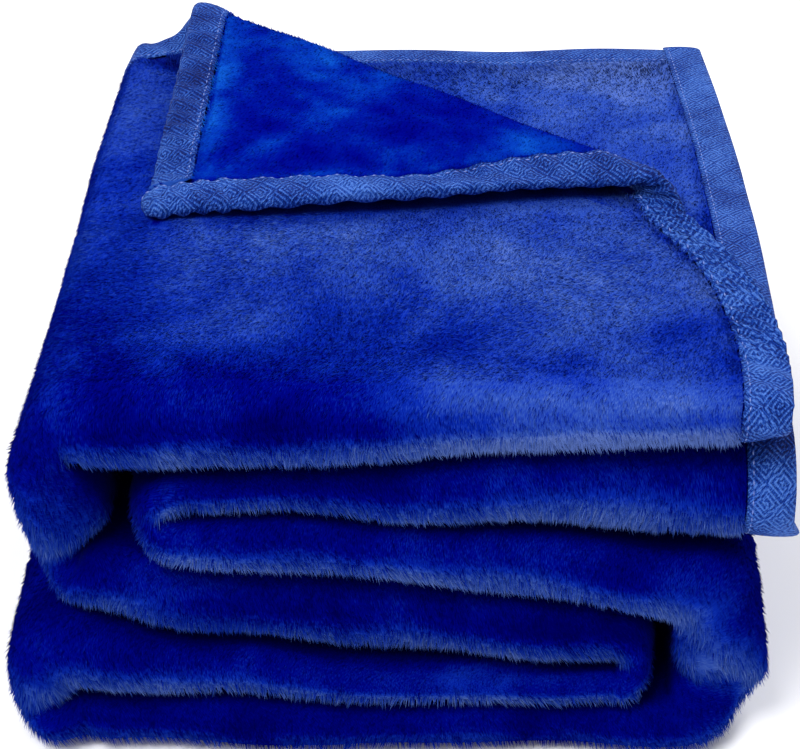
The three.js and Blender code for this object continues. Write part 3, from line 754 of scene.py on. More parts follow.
# %% [markdown]
# ## Which way the pile lies
#
# Pile keeps the way it was last brushed: on the top ply towards the viewer and to the left, and
# down the front folds. The way wanders slowly. The locks of pile that are made later follow it, and
# so does the grain of the cloth under them. For the grain each point of the cloth gets its place
# in millimetres: one number counts along the locks and the other one counts across them.

# %% How the pile is combed
# slow waves of its direction: a direction in radians per millimetre, a shift, and a strength
COMB_WAVES = np.array([
    (0.031, -0.022, 0.045, 0.6, 0.40),
    (-0.047, 0.038, 0.052, 2.9, 0.30),
    (0.083, 0.061, -0.094, 4.1, 0.22),
    (-0.12, 0.10, 0.13, 1.7, 0.18),
    (0.41, 0.33, 0.52, 0.9, 0.26),
    (-0.63, 0.29, 0.47, 3.6, 0.22),
])


def combing(points_mm, normals, wander_share=0.4):
    """The way the pile lies at each point, along the surface."""
    wander = sum(row[4] * np.sin(points_mm @ row[:3] + row[3]) for row in COMB_WAVES)
    flat = np.tile([-0.55, -0.85, -0.05], (len(points_mm), 1))
    flat[:, 0] += 0.25 * np.sin(points_mm[:, 0] / 70.0 + 1.0)
    down = np.array([0.28, 0.0, -1.0])
    steep = ease((0.85 - normals[:, 2]) / 0.6)[:, None]
    way = flat * (1 - steep) + down * steep
    way -= (way * normals).sum(axis=1, keepdims=True) * normals
    way /= np.linalg.norm(way, axis=1, keepdims=True) + 1e-9
    side = np.cross(normals, way)
    angle = wander[:, None] * wander_share * (1 + 0.9 * steep)
    return way * np.cos(angle) + side * np.sin(angle)


# %% Places along and across the locks
LEAN_SMOOTHING = 7


def run_lengths(line):
    """How far each point of a line is from its first one, along the line."""
    return np.concatenate([[0.0], np.cumsum(np.linalg.norm(np.diff(line, axis=0), axis=1))])


def ring_places(rings, ring_index):
    """For each point of a ring: millimetres round it, and how far the locks lean along the strip."""
    ring = rings[ring_index] / MM
    along = rings[ring_index + 1].mean(axis=0) - rings[ring_index - 1].mean(axis=0)
    along /= np.linalg.norm(along)
    step = np.roll(ring, -1, axis=0) - ring
    length = np.linalg.norm(step, axis=1)
    tangent = step / (length[:, None] + 1e-9)
    normal = np.cross(np.tile(along, (len(ring), 1)), tangent)
    outwards = 1.0 if (normal * (ring - ring.mean(axis=0))).sum() > 0 else -1.0
    way = combing(ring, normal * outwards, 0.0)
    lean = (way @ along) / (way * tangent).sum(axis=1)
    lean = np.clip(np.nan_to_num(lean), -1.3, 1.3)
    kernel = np.ones(LEAN_SMOOTHING) / LEAN_SMOOTHING
    side = LEAN_SMOOTHING // 2
    lean = np.convolve(np.concatenate([lean[-side:], lean, lean[:side]]), kernel, "valid")
    round_mm = np.concatenate([[0.0], np.cumsum(length)[:-1]])
    lean_mm = np.concatenate([[0.0], np.cumsum(length * lean)[:-1]])
    return np.stack([round_mm, lean_mm], axis=1)


# %% The plush cloth
# a column of points on each band to count along, and a ring on each to count round
STRIP_COLUMN, STRIP_RING = 20, 20
CORNER_COLUMN, CORNER_RING = 12, 30
strip_framed = framed(strip_rings)
corner_framed = framed(corner_rings)
cloth_bands = [
    (strip_framed, run_lengths(strip_framed[:, STRIP_COLUMN] / MM),
     ring_places(strip_framed, STRIP_RING)),
    (corner_framed, run_lengths(corner_framed[:, CORNER_COLUMN] / MM),
     ring_places(corner_framed, CORNER_RING)),
]
cloth = shell_through("plush_sheet", cloth_bands, place_name="pile_place")
# the strip's points come first in the mesh, and the corner's after them
corner_start = strip_rings.shape[0] * strip_rings.shape[1]
print("plush_sheet:", len(cloth.data.polygons), "faces")

# %% [markdown]
# ## The woven binding
#
# The binding is a tape folded lengthways over the cloth's edge and sewn through. It has the
# edge's padding inside, so it is plump rather than flat. Each tape is a shell whose rings are
# C-shaped: out over one face, round the edge, back over the other face, and home along the
# inside. The UV map counts millimetres along the tape and across its outside, for the weave.

# %% The section of a tape
# one row for each point of the outside: distance in from the rim, and the share of the full
# half thickness there
TAPE_OUTSIDE = ((17.0, 0.90), (16.0, 1.0), (13.5, 1.12), (10.5, 1.17), (7.5, 1.15), (5.0, 1.06),
                (3.0, 0.93), (1.5, 0.72), (0.5, 0.42))
# distances in from the rim of the points of the inside
TAPE_INSIDE = (1.8, 5.2, 10.2, 17.0)


def tape_rings(position, out, half):
    """position, out and half are functions of the distance in from the rim, mm."""
    def at(mm, side, thickness):
        return position(mm) + out(mm) * (side * thickness)[..., None]

    top = [at(mm, 1, half(mm) * share) for mm, share in TAPE_OUTSIDE]
    under = [at(mm, -1, half(mm) * share) for mm, share in TAPE_OUTSIDE[::-1]]
    inside_under = [at(mm, -1, half(mm) - TAPE_WALL) for mm in TAPE_INSIDE[::-1]]
    inside_top = [at(mm, 1, half(mm) - TAPE_WALL) for mm in TAPE_INSIDE]
    return np.stack(top + under + inside_under + inside_top, axis=1)


def band(rings):
    """Adds millimetres along the rings and around them to a band."""
    ring = rings[len(rings) // 2]
    around = run_lengths(np.vstack([ring, ring[:1]]))
    return framed(rings), run_lengths(rings.mean(axis=1)), around


# %% Tape along the two long edges
LAST_PASS = len(PASSES) - 1


def edge_places():
    """The strip's places, without those that lie in the tapes of its two bound ends."""
    chosen = [p for p, tight in zip(places, end_pressed) if not tight]
    inner = [p for p in chosen if not (
        (p[0] == 0 and p[2] is None and p[1] > TOP_PASS["start"] - FULL_FROM - 0.1)
        or (p[0] == LAST_PASS and p[1] > PASSES[-1]["end"] - FULL_FROM - 0.1))]
    return ([(0, TOP_PASS["start"] - PRESSED_WIDTH, None)] + inner
            + [(LAST_PASS, PASSES[-1]["end"] - PRESSED_WIDTH, None)])


def long_edge_rings(stations, level):
    def position(mm):
        y = (stations.edge_y - mm)[:, None]
        return strip_point(stations, y, np.full_like(y, level))[:, 0]

    def out(mm):
        return across_and_pitch(stations, (stations.edge_y - mm)[:, None])[0][:, 0]

    def half(mm):
        pitch = across_and_pitch(stations, (stations.edge_y - mm)[:, None])[1][:, 0]
        return ply_thickness(pitch) / 2

    return tape_rings(position, out, half)


edge_stations = Stations(edge_places())
# the top ply's long edge is bound only where its corner isn't turned over
behind = Stations([p for p, over in zip(edge_places(), edge_stations.over) if not over])
print(len(edge_stations.x), "stations along the second ply's edge")


# %% Tape on the turned-over corner
FLAP_EDGE_STEPS = 56
# the tape is this much thicker here on each side, being free to puff up
TAPE_PUFF = 0.8
# the second tape starts this far from the corner, and its mitre takes a sixth of its length
SECOND_START = TAPE_WIDTH + 2.5
MITRE_SHARP = 6


def corner_edge_rings(a, b, in_a, in_b):
    """Rings along an edge of the corner, whose inward way is in_a off and in_b along the fold."""
    def position(mm):
        return flap_point(a + in_a * mm, b + in_b * mm)

    def out(mm):
        return flap_normal(a + in_a * mm, b + in_b * mm)

    def half(mm):
        return np.full_like(a, flap_half + TAPE_PUFF)

    return tape_rings(position, out, half)


def right_corner_rings():
    t = (1 - np.linspace(0, 1, FLAP_EDGE_STEPS)) ** 1.7
    ones = np.ones_like(t)
    return corner_edge_rings(corner_a * t, corner_b * t,
                             -corner_b / right_side * ones, corner_a / right_side * ones)


def back_corner_rings():
    inwards = np.array([corner_b - flap_length, -corner_a]) / back_side
    along_other = np.array([-corner_a, -corner_b]) / right_side
    along_other = along_other / (along_other @ inwards)
    share = np.linspace(0, 1, FLAP_EDGE_STEPS)
    t = (1 - SECOND_START / back_side) * (1 - share) ** 1.4
    mitre = np.clip(1 - MITRE_SHARP * share, 0, 1)[:, None]
    way = inwards + (along_other - inwards) * mitre
    return corner_edge_rings(corner_a * t, flap_length + (corner_b - flap_length) * t,
                             way[:, 0], way[:, 1])


# %% Tape along the two bound ends
def end_rings(ends, first_index):
    """Rings along the middle line at a bound end, from a point of it to its last point."""
    stations = Stations(ends)
    y, *others = middle_line(stations)[:4]
    y = np.concatenate([y, y[:, -1:] + TAPE_NOSE], axis=1)
    others = [np.concatenate([v, v[:, -1:]], axis=1) for v in others]
    if first_index == 0:
        y = np.concatenate([y[:, :1] + TAPE_NOSE, y], axis=1)
        others = [np.concatenate([v[:, :1], v], axis=1) for v in others]
    line = [v[:, first_index:] for v in [y] + others]
    middle = off_point(stations, line, 0.0)
    out_way = off_point(stations, line, 1.0) - off_point(stations, line, -1.0)
    out_way /= np.linalg.norm(out_way, axis=-1, keepdims=True)
    thick = ply_thickness(across_and_pitch(stations, line[0])[1]) / 2

    def share(mm):
        return (mm - TAPE_NOSE) / (FULL_FROM - TAPE_NOSE)

    def position(mm):
        return middle[0] + (middle[1] - middle[0]) * share(mm)

    def out(mm):
        way = out_way[0] + (out_way[1] - out_way[0]) * min(1.0, max(0.0, share(mm)))
        return way / np.linalg.norm(way, axis=-1, keepdims=True)

    def half(mm):
        return thick[0] + (thick[1] - thick[0]) * share(mm)

    return tape_rings(position, out, half)


def smoothed(rings, joint, reach=3, rounds=4):
    """Eases the band where one run of rings meets another."""
    eased_rings = rings.copy()
    for i in range(rounds):
        inner = eased_rings[joint - reach:joint + reach]
        before = eased_rings[joint - reach - 1:joint + reach - 1]
        after = eased_rings[joint - reach + 1:joint + reach + 1]
        eased_rings[joint - reach:joint + reach] = (before + 2 * inner + after) / 4
    return eased_rings


# %% [markdown]
# ### Gathers
#
# A tape that is sewn round a bend has too much cloth on its inner side, and it gathers there in
# small slanting ridges. A band gets many more rings first, and then each ring's outside moves in
# and out by a slow wave that counts millimetres along the tape. A free end is drawn together, as
# a folded-in tape is, and parts of the tapes are painted paler where light falls and darker where
# shade lies.

# %% Gathers and rounded ends of the tape
# points of a ring on the two faces, from which the way out of a tape is measured
GATHER_COLUMN = 4
GATHER_EASE = 14.0


def denser(rings, step):
    """The same band with a ring every few millimetres."""
    along = run_lengths(rings.mean(axis=1))
    at = np.linspace(0, along[-1], int(along[-1] / step))
    index = np.clip(np.searchsorted(along, at) - 1, 0, len(rings) - 2)
    share = ((at - along[index]) / (along[index + 1] - along[index]))[:, None, None]
    return rings[index] * (1 - share) + rings[index + 1] * share


def gathered(rings, gathers):
    """Rows of gathers: from and to along the tape, distance between two, and height, all mm."""
    along = run_lengths(rings.mean(axis=1))
    out = rings[:, GATHER_COLUMN] - rings[:, 2 * len(TAPE_OUTSIDE) - 1 - GATHER_COLUMN]
    out /= np.linalg.norm(out, axis=1, keepdims=True)
    inward = rings[:, 0] - rings[:, len(TAPE_OUTSIDE) - 1]
    inward /= np.linalg.norm(inward, axis=1, keepdims=True)
    offset = rings - rings.mean(axis=1, keepdims=True)
    side = np.clip(np.einsum("rpk,rk->rp", offset, out) / 1.5, -1, 1)
    slant = np.einsum("rpk,rk->rp", offset, inward)
    height = np.zeros_like(slant)
    for begin, end, pitch, tall in gathers:
        window = ease((along - begin) / GATHER_EASE) * ease((end - along) / GATHER_EASE)
        uneven = along + 0.28 * pitch * np.sin(along / (1.9 * pitch) + begin)
        phase = 2 * math.pi * (uneven[:, None] + 0.6 * slant) / pitch
        height += tall * window[:, None] * (0.15 + 0.85 * np.sin(phase))
    return rings + (side * height)[..., None] * out[:, None]


def rounded_start(rings, radius):
    """Draws the first rings of a band together to a round end."""
    along = np.clip(run_lengths(rings.mean(axis=1)) / radius, 0.03, 1)
    scale = np.sqrt(1 - (1 - along) ** 2)[:, None, None]
    middle = rings.mean(axis=1, keepdims=True)
    return middle + (rings - middle) * scale


# %% The bands of the four tapes
TAPE_STEP = 1.5
# where gathers begin and end along a tape, the distance between two, and their height
FIRST_END_GATHERS = (
    (-20, 44, 9.0, 1.0), (25, 215, 13.0, 0.7), (190, 340, 8.0, 2.0), (310, 600, 12.0, 0.6))
TOP_SIDE_GATHERS = ((-20, 130, 10.0, 0.7), (130, 420, 14.0, 0.4))


def bound_end(k, x):
    return [(k, x - TAPE_NOSE, None), (k, x - FULL_FROM, None)]


# past the turned-over corner, the first end's tape starts where the top ply is whole again
PAST_CORNER = 3
corner_right = right_corner_rings()
first_run = end_rings(bound_end(0, TOP_PASS["start"]), PAST_CORNER)
first_rings = smoothed(np.concatenate([corner_right, first_run]), len(corner_right))
first_rings = gathered(denser(first_rings, TAPE_STEP), FIRST_END_GATHERS)
top_side_rings = np.concatenate([back_corner_rings(), long_edge_rings(behind, TOP)])
top_side_rings = gathered(denser(top_side_rings, TAPE_STEP), TOP_SIDE_GATHERS)
tapes = {
    "binding_first_end": band(rounded_start(first_rings, 6.0)),
    "binding_last_end": band(end_rings(bound_end(LAST_PASS, PASSES[-1]["end"]), 0)),
    "binding_top_ply_side": band(top_side_rings),
    "binding_second_ply_side": band(long_edge_rings(edge_stations, SECOND)),
}
print("rings in each tape:", [len(rings) for rings, along, around in tapes.values()])

# %% Make the tapes, with their painted light and shade
TAPE_PAINTED_LIGHT = (
    # where, how far it reaches each way (mm), and how much paler or darker: painted light and shade
    ((-92, 235, 158), (14, 60, 24), -0.26),
    ((128, 20, 100), (22, 30, 14), 0.20),
    ((128, 210, 140), (20, 110, 30), 0.06),
    ((70, 165, 152), (34, 34, 20), -0.14),
    # painted shadow in the notch between the two taped ends
    ((128, 20, 122), (22, 20, 3), -0.30),
)


def soft_spots(points_mm, spots):
    """How much paler or darker each point is made by a table of soft spots."""
    change = np.zeros(len(points_mm))
    for where, reach, paler in spots:
        apart = (points_mm - SHIFT - np.array(where, float)) / np.array(reach, float)
        change += paler * np.exp(-(apart ** 2).sum(axis=1))
    return change


def give_values(piece, name, values):
    """Stores one number for each point of a piece, for its material to read."""
    layer = piece.data.attributes.new(name, "FLOAT", "POINT")
    layer.data.foreach_set("value", values.astype(np.float32))


tape_pieces = {}
for node, one_band in tapes.items():
    piece = shell_through("tape_" + node.replace("binding_", ""), [one_band], "tape_mm")
    tape_pieces[node] = piece
    points_mm = np.array([v.co for v in piece.data.vertices]) / MM
    give_values(piece, "tape_painted_light", soft_spots(points_mm, TAPE_PAINTED_LIGHT))
    print(piece.name, f"{one_band[1][-1]:.0f} mm long,", len(piece.data.polygons), "faces")


# %% [markdown]
# ## Stitching
#
# The binding is held by one row of stitches near its inner edge, through tape and cloth. Each
# stitch is a short thread that dips into the tape at both ends. One small spindle is repeated
# along the row, which keeps thousands of stitches light.

# %% One stitch, and a row of them
STITCH_LENGTH = 2.5
STITCH_PITCH = 3.6
STITCH_RADIUS = 0.34
# a spindle one long and one in radius: its two tips, and four points round its middle
SPINDLE = np.array([(-0.5, 0, 0), (0.5, 0, 0)]
                   + [(0, math.cos(a), math.sin(a)) for a in np.radians([45, 135, 225, 315])])
SPINDLE_FACES = [(0, 3, 2), (0, 4, 3), (0, 5, 4), (0, 2, 5),
                 (1, 2, 3), (1, 3, 4), (1, 4, 5), (1, 5, 2)]


def points_along(line, along, at):
    """The points of a line at given distances along it."""
    return np.stack([np.interp(at, along, line[:, i]) for i in range(3)], axis=1)


def row_of_stitches(rings, column, inward):
    """Stitches between two neighbouring columns of a band of rings, in metres."""
    line = rings[:, column] * 0.65 + rings[:, column + inward] * 0.35
    along = run_lengths(line)
    at = np.arange(2.0, along[-1] / MM - 2.0, STITCH_PITCH) * MM
    centre = points_along(line, along, at)
    ahead = points_along(line, along, at + MM)
    core = points_along(rings.mean(axis=1), along, at)
    way = ahead - centre
    length = np.linalg.norm(way, axis=1)
    keep = length > 1e-7
    centre, way, core = centre[keep], way[keep] / length[keep, None], core[keep]
    out = centre - core
    out -= (out * way).sum(axis=1, keepdims=True) * way
    out /= np.linalg.norm(out, axis=1, keepdims=True)
    side = np.cross(way, out)
    frame_axes = np.stack([way * STITCH_LENGTH, side * STITCH_RADIUS, out * STITCH_RADIUS], axis=1)
    points = centre[:, None] + np.einsum("vk,skj->svj", SPINDLE, frame_axes * MM)
    above_floor = points[..., 2].min(axis=1) > 0.0
    return points[above_floor]


stitch_points = []
for rings, along, around in tapes.values():
    stitch_points.append(row_of_stitches(rings, 1, 1))
    stitch_points.append(row_of_stitches(rings, 2 * len(TAPE_OUTSIDE) - 2, -1))
stitch_points = np.concatenate(stitch_points)
print(len(stitch_points), "stitches")


# %% [markdown]
# ### Many copies in one mesh
#
# Thousands of stitches, and later well over a hundred thousand locks of pile, would be slow to
# copy one by one with operators. Each is the same few faces on its own points, so numpy repeats
# the faces, and the mesh takes them all in one go.

# %% Join many small shapes into one mesh
def joined(name, points, faces, attributes=None):
    """points has a row for each copy; faces index one copy's points."""
    copies, each = points.shape[:2]
    faces = np.array(faces)
    index = (faces[None] + np.arange(copies)[:, None, None] * each).reshape(-1)
    mesh = bpy.data.meshes.new(name)
    mesh.vertices.add(copies * each)
    mesh.vertices.foreach_set("co", points.reshape(-1).astype(np.float32))
    mesh.loops.add(len(index))
    mesh.loops.foreach_set("vertex_index", index.astype(np.int32))
    mesh.polygons.add(len(index) // 3)
    mesh.polygons.foreach_set("loop_start", np.arange(0, len(index), 3, dtype=np.int32))
    mesh.polygons.foreach_set("use_smooth", np.ones(len(index) // 3, bool))
    for key, values in (attributes or {}).items():
        kind, field = ("FLOAT", "value") if values.ndim == 2 else ("FLOAT_VECTOR", "vector")
        layer = mesh.attributes.new(key, kind, "POINT")
        layer.data.foreach_set(field, values.reshape(-1).astype(np.float32))
    mesh.update(calc_edges=True)
    piece = bpy.data.objects.new(name, mesh)
    scene.collection.objects.link(piece)
    return piece


stitches = joined("binding_stitches", stitch_points, SPINDLE_FACES)

# %% [markdown]
# ## Where the cloth shows
#
# Pile is only worth making where it can be seen. From the middle of each face of the cloth a few
# rays go out. A face is inside a fold if the first ray soon meets more cloth, and it is hidden if
# no ray gets out of the bundle. The nearer the next cloth, the shorter the pile can stand there.

# %% A tree of all the cloth, to cast rays at
def joined_tree(objects):
    verts, faces = [], []
    for one in objects:
        start = len(verts)
        verts += [v.co.copy() for v in one.data.vertices]
        faces += [[start + i for i in p.vertices] for p in one.data.polygons]
    return BVHTree.FromPolygons(verts, faces)


def read_values(items, field, size=1):
    """One row of a field for each item: vertices or faces."""
    values = np.zeros(len(items) * size)
    items.foreach_get(field, values)
    return values.reshape(-1, size) if size > 1 else values


tree = joined_tree([cloth, *tape_pieces.values()])
polygons = cloth.data.polygons
face_count = len(polygons)
face_centre = read_values(polygons, "center", 3)
face_normal = read_values(polygons, "normal", 3)
face_area = read_values(polygons, "area")
print(f"the cloth has {face_area.sum():.2f} square metres of surface, inside folds and out")

# %% Cast rays from the faces of the cloth
# in millimetres: a face with more cloth nearer than this is inside a fold, and the length of a
# straight ray
CLOSE = 1.6
FARTHEST = 60.0
# a slanted ray that gets this far, in metres, is out of the bundle
REACH = 0.6
# the slanted rays: degrees away from the face's normal, and degrees round it
RAY_TILT = ([(35, turn) for turn in (0, 120, 240)]
            + [(68, turn) for turn in (30, 90, 150, 210, 270, 330)])
room = np.zeros(face_count)
open_share = np.zeros(face_count)
for index in range(face_count):
    normal = Vector(face_normal[index])
    start = Vector(face_centre[index]) + normal * 0.3 * MM
    faces_the_floor = start.z < 4 * MM and normal.z < -0.4
    if faces_the_floor:
        continue
    hit = tree.ray_cast(start, normal, FARTHEST * MM)
    distance = FARTHEST if hit[0] is None else hit[3] / MM
    if distance < CLOSE:
        continue
    room[index] = distance
    side = normal.orthogonal().normalized()
    other = normal.cross(side)
    free = 1.0 if hit[0] is None else 0.0
    for tilt, turn in RAY_TILT:
        up, flat = math.cos(math.radians(tilt)), math.sin(math.radians(tilt))
        around = math.radians(turn)
        way = normal * up + (side * math.cos(around) + other * math.sin(around)) * flat
        if way.z > -0.6 and tree.ray_cast(start, way, REACH)[0] is None:
            free += 1.0
    # the share of rays that get out also sets the pile's painted shade, further on
    open_share[index] = free / (len(RAY_TILT) + 1)
shows = open_share > 0
print(f"{shows.sum()} of {face_count} faces show, {face_area[shows].sum() * 1e4:.0f} square cm")

# %% [markdown]
# ## Pile
#
# Short plush pile is thousands of fine fibres that lie where a hand last brushed them. Real ones
# are far too many to model, so each spike here stands for a small lock of fibres, half a
# millimetre thick at its root. Plush looks dark where one looks straight into it, paler along a
# lower edge, where the fibres hang out in the light, and nearly black deep in a fold. This light
# and shade is painted into the pile's tone, from the way each face points and how open it is.

# %% Painted light and shade of the pile
# the top pass starts this high above the floor, over this many millimetres
TOP_FROM = 118.0
TOP_EASE = 7.0


def pile_light(normals, open_here, height_mm):
    """Painted light on the top and lower edges, painted shade in a fold and where little gets in."""
    up = normals[:, 2]
    # on the top pass: painted shade where it turns down to the front, painted light on lower edges
    top = 0.50 - 0.24 * ease((0.80 - up) / 0.5) + 0.58 * ease((0.08 - up) / 0.5)
    # on the passes below: painted shade on their faces and tops, painted light where they face down
    fold = 0.11 + 0.66 * ease((0.34 - up) / 0.95)
    light = fold + (top - fold) * ease((height_mm - TOP_FROM) / TOP_EASE)
    # painted shade where few of the rays get out of the bundle
    light -= 0.40 * (1 - ease(open_here / 0.55)) * ease((up + 0.35) / 0.35)
    light -= 0.30 * (1 - ease((open_here - 0.06) / 0.2))
    return light


# %% [markdown]
# ### Patches of painted sheen, light and shade
#
# A hand that strokes plush leaves soft patches that look paler or darker, because the fibres lean
# another way there and catch the light another way. The locks' own lean is too even to show them,
# so they are painted into the tone as a painted sheen. The same rows paint the bundle's light and
# shade: paler lit lower edges, dark shaded bands between the passes, a lifted shadow under the
# corner's tape, and painted shade along the bottom edge. Each row is one soft spot in the bundle,
# fading smoothly to nothing, which lifts or lowers the tone.

# %% Soft patches of painted sheen, light and shade
PAINTED_LIGHT_PATCHES = (
    # where, how far it reaches each way (mm), and how much paler or darker
    # the lit middle of the top, and the shaded left and front of it
    ((30, 98, 148), (48, 34, 20), 0.20),
    ((88, 92, 148), (36, 50, 25), 0.18),
    ((-34, 122, 148), (34, 24, 20), 0.20),
    ((-88, 18, 146), (36, 32, 25), -0.27),
    ((-42, 6, 146), (38, 22, 18), -0.25),
    ((-112, 100, 140), (24, 70, 40), -0.24),
    ((64, 2, 134), (50, 14, 26), 0.34),
    ((10, 44, 148), (22, 11, 15), -0.16),
    ((94, 56, 148), (15, 15, 15), -0.16),
    ((46, 32, 148), (14, 9, 12), -0.14),
    ((-70, 75, 148), (20, 12, 12), -0.08),
    # beside and behind the turned-over corner: painted light on the shadow under its tape,
    # and a painted sheen further back
    ((-10, 152, 146), (90, 9, 9), 0.26),
    ((85, 268, 139), (62, 60, 9), 0.34),
    # the turned-over corner itself: mottled patches, and a painted highlight along its fold's crest
    ((8, 200, 153), (48, 24, 14), -0.36),
    ((-61, 230, 158), (13, 11, 12), -0.34),
    ((-24, 238, 158), (14, 10, 12), -0.26),
    ((-66, 196, 155), (8, 7, 12), -0.20),
    ((-38, 206, 155), (15, 10, 12), 0.12),
    ((-50, 263, 163), (34, 8, 12), 0.34),
    ((-83, 224, 156), (8, 60, 16), 0.40),
    ((-40, 252, 160), (10, 9, 10), 0.12),
    # the front: painted light on the pale lower edges of every other pass, painted shade on the dark
    # ones between
    ((0, -4, 127), (130, 12, 7), 0.14),
    ((82, -5, 110), (36, 14, 18), 0.24),
    ((-30, 0, 102), (60, 14, 8), -0.16),
    ((-60, 0, 54), (40, 14, 8), -0.20),
    ((20, 0, 49), (60, 14, 8), -0.30),
    ((95, 0, 66), (20, 14, 16), 0.14),
    ((70, 0, 92), (40, 14, 10), 0.10),
    ((-84, 0, 70), (24, 14, 10), 0.24),
    ((-88, 0, 108), (14, 14, 10), 0.14),
    ((-20, 0, 74), (70, 14, 6), 0.10),
    ((10, 0, 34), (80, 14, 7), 0.12),
    ((-80, 0, 30), (26, 14, 10), 0.12),
    ((-125, 0, 108), (18, 34, 32), -0.12),
    ((-133, 0, 40), (22, 30, 30), -0.06),
    ((0, -5, 15), (120, 14, 9), -0.06),
    # painted shade along the bottom edge, next to the floor
    ((0, -5, 2), (150, 20, 6), -0.42),
    ((-10, 0, 84), (70, 14, 6), 0.08),
)


# the cloth's tone: its painted light and shade, and the painted patches
cloth_light = pile_light(face_normal, open_share, face_centre[:, 2] / MM)
cloth_light += soft_spots(face_centre / MM, PAINTED_LIGHT_PATCHES)
print(f"the pile's paleness runs from {cloth_light[shows].min():.2f} to {cloth_light.max():.2f}")

# %% The same for each point of the cloth
# four points of each face, the last one twice where it has three
corner = np.array([tuple(p.vertices)[:4] if len(p.vertices) > 3 else
                   tuple(p.vertices) + (p.vertices[2],) for p in polygons])
vert_count = len(cloth.data.vertices)
# a point takes the mean tone of its faces, and hidden faces hardly count
HIDDEN_COUNTS = 0.01
corner_counts = np.repeat(np.where(shows, 1.0, HIDDEN_COUNTS), 4)
light_count = np.bincount(corner.reshape(-1), corner_counts, vert_count)
light_sum = np.bincount(corner.reshape(-1), np.repeat(cloth_light, 4) * corner_counts, vert_count)
vert_light = light_sum / np.maximum(light_count, 1e-6)
vert_turned = (np.arange(vert_count) >= corner_start).astype(float)
face_turned = vert_turned[corner].min(axis=1)
give_values(cloth, "pile_tone", vert_light)
give_values(cloth, "pile_turned", vert_turned)
print(f"{face_turned.sum():.0f} faces show the cloth's other side, on the turned-over corner")

# %% Spread the locks over the cloth
rng = np.random.default_rng(20240611)
vert_place = read_values(cloth.data.attributes["pile_place"].data, "vector", 3)
corner_points = read_values(cloth.data.vertices, "co", 3)[corner]
corner_normals = read_values(cloth.data.vertex_normals, "vector", 3)[corner]
corner_places = vert_place[corner]
corner_light = vert_light[corner][..., None]


def spread(weights, count):
    """Picks faces by weight, and a place on each."""
    picked = np.sort(rng.choice(face_count, size=count, p=weights / weights.sum()))
    u, v = rng.random((2, count, 1))

    def at(corner_values):
        quad = corner_values[picked]
        low = quad[:, 0] * (1 - u) + quad[:, 1] * u
        high = quad[:, 3] * (1 - u) + quad[:, 2] * u
        return low * (1 - v) + high * v

    return picked, at


# %% One closed spike for each lock
PILE_LENGTH = 3.0
LOCK_WIDTH = 0.46
LOCK_FACES = [(0, 1, 3), (1, 2, 3), (2, 0, 3), (0, 2, 1)]
# no spike comes nearer to the floor than this
FLOOR_CLEARANCE = 0.2


def with_length_one(ways):
    return ways / np.linalg.norm(ways, axis=1, keepdims=True)


def spikes(name, base, tip, way, normal, radius, spin, values, lowest=-math.inf):
    """Each spike has a row in base, tip, way and normal; its material reads the values."""
    side = with_length_one(np.cross(way, normal))
    other = np.cross(way, side)
    points = np.empty((len(base), 4, 3))
    for i in range(3):
        angle = spin + 2 * math.pi * i / 3
        points[:, i] = base + (side * np.cos(angle) + other * np.sin(angle)) * radius
    points[:, 3] = tip
    points[..., 2] = np.maximum(points[..., 2], FLOOR_CLEARANCE * MM)
    attributes = {"pile_height": np.tile([0.0, 0.0, 0.0, 1.0], (len(base), 1))}
    for key, value in values.items():
        attributes[key] = np.repeat(value[:, None], 4, axis=1)
    piece = joined(name, points, LOCK_FACES, attributes)
    soft = normal + 0.35 * way
    soft[:, 2] = np.maximum(soft[:, 2], lowest)
    soft = with_length_one(soft)
    piece.data.normals_split_custom_set_from_vertices(np.repeat(soft, 4, axis=0))
    return piece


# %% Build the locks of one region
def locks(name, region, count, width=LOCK_WIDTH, hanging=1.0):
    """hanging says how much denser the locks are where the cloth faces down."""
    dense = 1 + hanging * ease((0.15 - face_normal[:, 2]) / 0.5)
    picked, at = spread(face_area * shows * region * dense, count)
    root = at(corner_points)
    normal = with_length_one(at(corner_normals))
    comb = combing(root / MM, normal)
    fringe = ease((0.15 - normal[:, 2]) / 0.5)
    lean = np.radians(rng.normal(64, 6, count)) - np.radians(12) * fringe
    way = normal * np.cos(lean)[:, None] + comb * np.sin(lean)[:, None]
    way += rng.normal(0, 0.07, (count, 3))
    way[:, 2] -= 0.10
    into = (way * normal).sum(axis=1)
    way = with_length_one(way + normal * np.clip(0.22 - into, 0, None)[:, None])
    uneven = rng.normal(1.0, 0.18, count).clip(0.55, 1.35)
    reach = PILE_LENGTH * (1 + 0.35 * fringe) * (1 - 0.3 * face_turned[picked]) * uneven
    stand = np.clip((way * normal).sum(axis=1), 0.15, None)
    reach = np.minimum(reach, 0.85 * room[picked] / stand) * MM
    spin = rng.uniform(0, 2 * math.pi, count)
    radius = width / 2 * rng.normal(1, 0.18, count).clip(0.6, 1.5) * MM
    # each lock takes the painted light and shade at its root, with a random tone of its own
    light = at(corner_light)[:, 0]
    light += rng.normal(0, 0.11, count) * np.clip(1.5 * light, 0.3, 1.0)
    values = {"pile_tone": light, "pile_turned": face_turned[picked],
              "pile_place": at(corner_places)}
    area = (face_area * shows * region).sum() * 1e6
    print(f"{name}: {count} locks on {area:.0f} square mm")
    base = root - normal * 0.35 * MM
    return spikes(name, base, base + way * reach[:, None], way, normal, radius[:, None],
                  spin[:, None], values, lowest=-0.15)


# %% [markdown]
# ### Pile over the tape's edge
#
# Where tape meets plush the fibres aren't cut off in a line. They lap over the tape's inner edge
# and hide the step. So more locks are rooted beside each tape, at places along both of its inner
# edges, and lean over it. A place counts only where the cloth beside it shows.

# %% Pile that laps over the tape's inner edge
def tape_edges():
    """Both inner edges of each tape: a line in metres, and the way over the tape from it."""
    last = 2 * len(TAPE_OUTSIDE) - 1
    for rings, along, around in tapes.values():
        for column, inside in ((0, 1), (last, -1)):
            yield rings[:, column], rings[:, column + 2 * inside] - rings[:, column]


